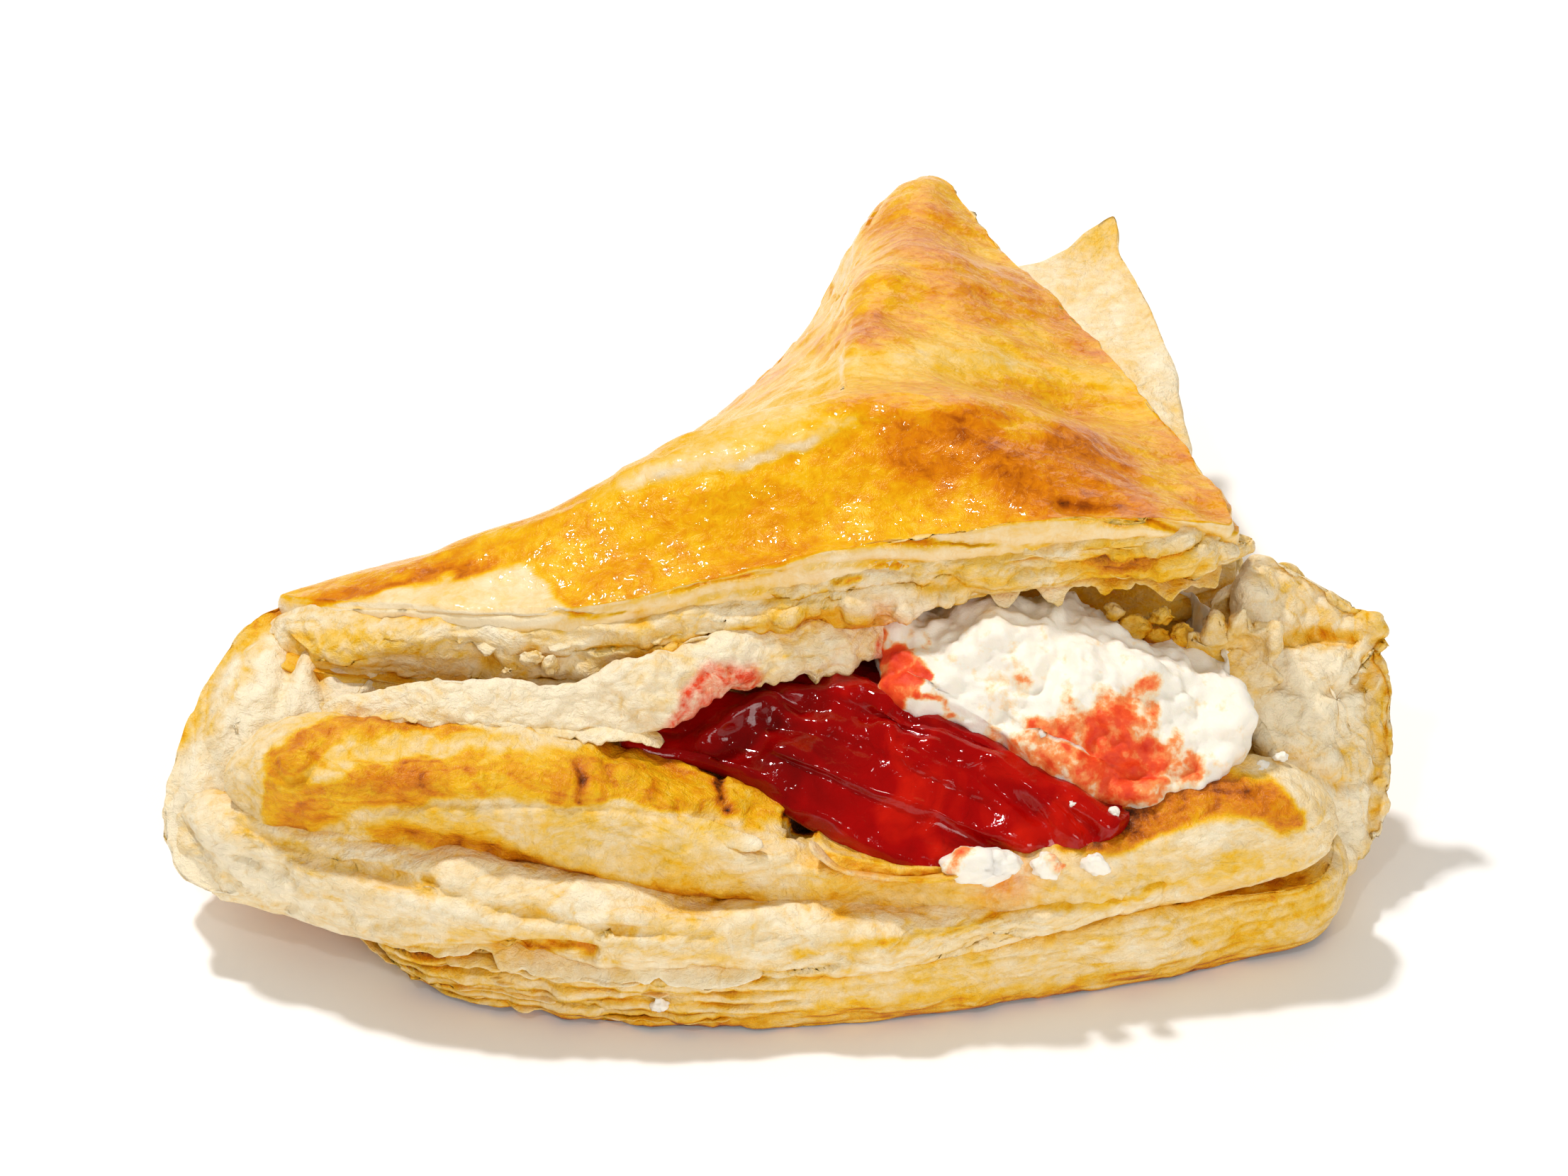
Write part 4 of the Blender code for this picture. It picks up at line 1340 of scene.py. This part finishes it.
cheeseLook = {
    "rim": [
        (10, -33, 26, 4), (17, -38, 24, 5), (26, -41.5, 21.5, 5), (36, -44, 19.5, 4), (43, -42.5, 20, 4),
        (46.5, -38, 22.5, 5), (46, -31, 25, 5), (44, -20, 24, 6), (37, -5, 24, 6), (25, 4, 24, 6),
        (14, -8, 25, 6), (12, -22, 26.5, 6),
    ],
    "centre": (28, -31, 25.5, 12.5),
    "crown": 2.2,
    "around": 360,
    "rows": 20,
    "caps": 56,
    "rounded": 1.5,
    "bumps": [(42, -19, 8, -5), (33, -16, 9, -6), (22, -14, 8, -5)],
    "stained": [
        ([
            (27.9, -14.6), (33.3, -11.2), (37.9, -9.2), (41.0, -12.3), (42.1, -16.2), (45.2, -19.2),
            (44.1, -22.7), (37.9, -24.6), (31.8, -23.8), (27.2, -19.6), (22.6, -16.9), (24.1, -15.0),
        ], 3.0, 0.46),
        ([(33.3, -13.9), (37.9, -13.1), (41.0, -17.7), (37.9, -22.3), (32.5, -20.8)], 3.0, 0.24),
        ([(9.5, -5.4), (14.1, -5.8), (14.9, -10.0), (17.2, -13.9), (11.8, -12.3)], 1.5, 0.7),
        ([(21.8, -7.7), (25.6, -6.6), (27.9, -10.0), (24.9, -13.1), (21.0, -11.9)], 3.0, 0.2),
    ],
    "waves": [(7, 1.3, 63), (3, 0.9, 64), (1.3, 0.35, 65)],
}
cheese = sheetOf("cheese", cheeseLook)
wrinkle(cheese, cheeseLook)


def stainCheese(piece, marks):
    points, ways = pointsOf(piece), waysOf(piece)
    keepNumber(piece, "stain", marksOf(points, ways, {"areas": marks}, ragged=1.8))


stainCheese(cheese, cheeseLook["stained"])
dress(cheese, whiteCheese, "soft_cheese")
print("fillings are made")


# Thin torn sheets along the edges

def joinPieces(name, pieces):
    pick(pieces)
    bpy.ops.object.join()
    pieces[0].name = name
    return pieces[0]


def moved(line, back, up):
    return [(x, y + back, z + up) for x, y, z in line]


def shredsOf(name, look):
    # each line is a strip's middle, (x, y, z), with its half width and tilt; a plus tilt lifts its front
    pieces = []
    for number, (line, deep, tilt) in enumerate(look["lines"]):
        spine = [(x, y, z, look["thin"], deep, tilt) for x, y, z in line]
        length = sum(math.dist(a[:3], b[:3]) for a, b in zip(spine[:-1], spine[1:]))
        strip = rollOf(
            f"{name}{number}",
            {
                "spine": spine,
                "along": max(int(length / look["step"]), 24),
                "around": 16,
                "ragged": look["ragged"],
                "length": length,
                "tear": look["tear"],
                "seed": look["seed"] + number,
            },
        )
        points = pointsOf(strip)
        points[:, 2] += look["wave"] * grain(points, (6, 6, 40), look["seed"] + number)
        points[:, 2] += 0.3 * look["wave"] * grain(points, (1.8, 1.8, 40), look["seed"] + number)
        movePoints(strip, points)
        pieces.append(strip)
    whole = joinPieces(name, pieces)
    paint(whole, look["finish"])
    dress(whole, bakedDough)


# layers that stick out of the slab's front left
slabEdge = [
    (-51, -42.5, 10), (-45, -44.5, 8.5), (-36, -49.5, 4.2), (-26, -53, 3.8), (-12, -55, 3.7), (0, -55, 3.7),
]
slabShredsLook = {
    "lines": [
        (moved(slabEdge[first:last], -reach, lift), 2.0, tilt)
        for lift, reach, tilt, first, last in (
            (-2.6, 0.0, 4, 1, 6),
            (-1.0, 0.4, -3, 0, 5),
            (0.5, -0.1, 6, 2, 6),
            (1.4, 0.2, -4, 0, 4),
            (2.8, 0.1, 0, 1, 6),
        )
    ],
    "thin": 0.22,
    "step": 0.45,
    "ragged": 0.55,
    "tear": 3.0,
    "wave": 0.45,
    "seed": 81,
    "finish": {
        "bake": 0.16,
        "mottle": 0.12,
        "streaks": [([(-36, -52, 0.8, 0), (0, -58, 0.8, 0)], 1.6, 0.35)],
    },
}
shredsOf("slabShreds", slabShredsLook)

# ragged sheets under the lid's front edge, along the tongue and below the pleat
lidEdge = [
    (-50, -21, 24), (-40, -25.5, 26.5), (-28, -29.5, 29), (-16, -30.5, 30), (-4, -29, 32), (8, -27.5, 34.5),
]
lidEdgeRight = [(4, -28, 34), (16, -27.5, 37), (28, -27, 38), (38, -26, 37.5), (45, -22, 35)]
mouthShredsLook = {
    "lines": [
        (moved(lidEdge, 0, 1.2), 2.6, -12),
        (moved(lidEdge[:3], -0.9, -1.6), 2.0, -22),
        (moved(lidEdge[:4], -0.2, -4.0), 1.8, -38),
        (moved(lidEdge[2:5], -0.6, -2.6), 2.2, -24),
        (moved(lidEdge[1:], 0.4, -5.4), 2.2, -35),
        (moved(lidEdgeRight, 1, -3.0), 2.4, -30),
        ([(-12, -33, 29.4), (-3, -30.6, 30.6), (6, -28.5, 31.4), (12, -27.5, 31)], 1.4, 55),
        ([(-44, -38, 25.5), (-32, -39.5, 26.6), (-20, -40, 25.6), (-12, -40, 24)], 1.8, -10),
        ([(-43, -51, 9.6), (-32, -54.3, 9.0), (-20, -56.4, 8.0), (-8, -57, 7.4), (-2, -57, 7.2)], 1.6, -30),
        ([(-34, -54.5, 7.6), (-24, -56.4, 7.2), (-14, -57.2, 6.6)], 1.2, -12),
    ],
    "thin": 0.24,
    "step": 0.45,
    "ragged": 0.6,
    "tear": 2.4,
    "wave": 0.7,
    "seed": 101,
    "finish": {
        "bake": 0.1,
        "mottle": 0.14,
        # painted shade under the lid's right edge
        "spots": [(34, -24, 33, 14, 0.2)],
        "stains": [(10, -29, 30, 3, 0.7)],
    },
}
shredsOf("mouthShreds", mouthShredsLook)

# the roll's crust is broken where the jam came out
brokenCrustLook = {
    "lines": [
        ([
            (2.6, -50.2, 18.6), (4.5, -51.8, 17.3), (9, -52.5, 16.5), (14, -52.6, 16.2), (18, -52.2, 16.6),
        ], 1.3, 30),
        ([(-11, -49.6, 20.6), (-6, -50.6, 19.8), (-2, -51.2, 19.0)], 1.0, -30),
    ],
    "thin": 0.3,
    "step": 0.35,
    "ragged": 0.45,
    "tear": 2.0,
    "wave": 0.6,
    "seed": 121,
    "finish": {"bake": 0.24, "mottle": 0.14, "stains": [(8, -51, 17, 4, 0.4)]},
}
shredsOf("brokenCrust", brokenCrustLook)
print("torn sheets are made")


# Crumbs of cheese on the jam, and crumbs of crust beside the mouth

crumbAround = 32
crumbRings = 22


def crumbsOf(name, look):
    pieces = []
    for number, (x, y, z, wide, deep, tall) in enumerate(look["places"]):
        crumb, turn, rise = addWrap(f"{name}{number}", crumbAround, crumbRings)
        around = turn / crumbAround * math.tau
        height = (rise / crumbRings - 0.5) * math.pi
        flat = np.cos(height)
        ball = np.column_stack([np.cos(around) * flat, np.sin(around) * flat, np.sin(height)])
        lump = 1 + 0.3 * rough(ball * 3, 2.0, look["seed"] + number, 3)
        movePoints(crumb, (x, y, z) + ball * lump[:, None] * (wide / 2, deep / 2, tall / 2))
        closeUp(crumb)
        pieces.append(crumb)
    return joinPieces(name, pieces)


cheeseCrumbsLook = {
    "places": [
        (19.5, -51.5, 16.8, 6.5, 3.6, 3.4), (21.5, -52.0, 17.4, 4.0, 2.6, 2.8),
        (26.2, -51.6, 16.8, 3.2, 2.2, 2.4), (31.0, -51.0, 16.6, 2.6, 2.0, 2.2),
        (33.0, -46.5, 19.5, 1.3, 1.1, 1.0), (29.0, -46.0, 20.3, 1.0, 0.9, 0.8),
        (48.5, -39.0, 19.5, 2.0, 1.6, 1.5), (50.5, -37.5, 19.8, 1.4, 1.2, 1.1),
        (-12.5, -57.2, 3.6, 1.9, 1.3, 1.6),
    ],
    "seed": 131,
    "stained": [
        ([(17.2, -24.6), (21.0, -23.8), (22.6, -26.9), (18.7, -29.6)], 3.0, 0.45),
        ([(29.5, -26.9), (32.5, -27.7), (31.8, -31.1), (28.7, -30.0)], 2.0, 0.4),
    ],
    "waves": [(0.9, 0.16, 69)],
}
cheeseCrumbs = crumbsOf("cheeseCrumbs", cheeseCrumbsLook)
wrinkle(cheeseCrumbs, cheeseCrumbsLook)
stainCheese(cheeseCrumbs, cheeseCrumbsLook["stained"])
dress(cheeseCrumbs, whiteCheese, "soft_cheese")

crustCrumbsLook = {
    "places": [
        (36.0, -25.5, 27.2, 3.2, 2.4, 2.6), (38.6, -25.5, 26.2, 2.6, 2.2, 2.2),
        (41.0, -26.0, 26.8, 2.4, 2.0, 2.4), (38.8, -25.0, 28.6, 2.6, 2.0, 1.8),
        (34.0, -25.0, 29.2, 1.8, 1.6, 1.4), (-25.5, -33.5, 29.4, 2.2, 1.2, 1.4),
        (-23.5, -34.0, 28.8, 1.6, 1.2, 1.8), (-28.0, -34.5, 28.4, 1.4, 1.0, 1.0),
    ],
    "seed": 151,
    "waves": [(1.2, 0.3, 70)],
    "finish": {"bake": 0.1, "spots": [(38, -25, 27, 6, 0.26)], "mottle": 0.1},
}
crustCrumbs = crumbsOf("crustCrumbs", crustCrumbsLook)
wrinkle(crustCrumbs, crustCrumbsLook)
paint(crustCrumbs, crustCrumbsLook["finish"])
dress(crustCrumbs, bakedDough)
print("crumbs are made")


# Floor, lights and camera

stageLook = {
    "floor": (1.0, 1.0, 1.0),
    "floorSize": 4000,
    "sky": 0.405,
    "skyInGloss": 0.09,
    "skyColour": (1.0, 0.925, 0.815),
    "key": {"place": (-320, 240, 840), "size": 70, "power": 5.35, "colour": (1.0, 0.99, 0.985)},
    "back": {"place": (60, 700, 330), "size": 420, "power": 0.9, "colour": (1.0, 1.0, 1.0)},
    "front": {"place": (220, -570, 250), "size": 240, "power": 1.2, "colour": (1.0, 0.99, 0.97)},
    "glint": {"place": (-156, -437, 633), "size": 34, "power": 0.42, "colour": (1.0, 0.99, 0.96)},
}

bpy.ops.object.select_all(action="DESELECT")
bpy.ops.mesh.primitive_plane_add(size=stageLook["floorSize"] * mm, location=(0, 0, -0.15 * mm))
floor = bpy.context.object
floor.name = "floor"
floorPaint, floorTree, floorShader = newFinish("floorPaint")
white = (*stageLook["floor"], 1.0)
wire(floorTree, floorShader, {"Base Color": white, "Roughness": 0.8, "Specular IOR Level": 0.1})
floor.data.materials.append(floorPaint)

world = bpy.data.worlds.new("studio")
bpy.context.scene.world = world
world.use_nodes = True
skyTree = world.node_tree
# a dimmer sky in reflections keeps the golds and reds deep
glossy = addNode(skyTree, "ShaderNodeLightPath", {}).outputs["Is Glossy Ray"]
dimmer = addRange(skyTree, glossy, 0.0, 1.0, stageLook["sky"], stageLook["skyInGloss"])
wire(skyTree, skyTree.nodes["Background"], {"Color": (*stageLook["skyColour"], 1.0), "Strength": dimmer})


def aim(thing, target):
    way = np.array(target, float) - np.array(thing.location)
    thing.rotation_euler = (
        math.atan2(math.hypot(way[0], way[1]), -way[2]),
        0.0,
        math.atan2(way[1], way[0]) - math.pi / 2,
    )


for name in ("key", "back", "front", "glint"):
    light = stageLook[name]
    bpy.ops.object.light_add(type="AREA", location=np.array(light["place"]) * mm)
    lamp = bpy.context.object
    lamp.name = name + "Light"
    lamp.data.size = light["size"] * mm
    lamp.data.energy = light["power"]
    lamp.data.color = light["colour"]
    aim(lamp, (0, 0, 15 * mm))

away = toCamera * cameraLook["distance"]
bpy.ops.object.camera_add(location=(np.array(cameraLook["target"]) + away) * mm)
camera = bpy.context.object
camera.rotation_euler = (math.pi / 2 - tilt, 0, 0)
camera.data.lens = cameraLook["lens"]
camera.data.sensor_width = cameraLook["sensor"]
bpy.context.scene.camera = camera
bpy.context.scene.view_settings.view_transform = "Standard"
print("stage is set")
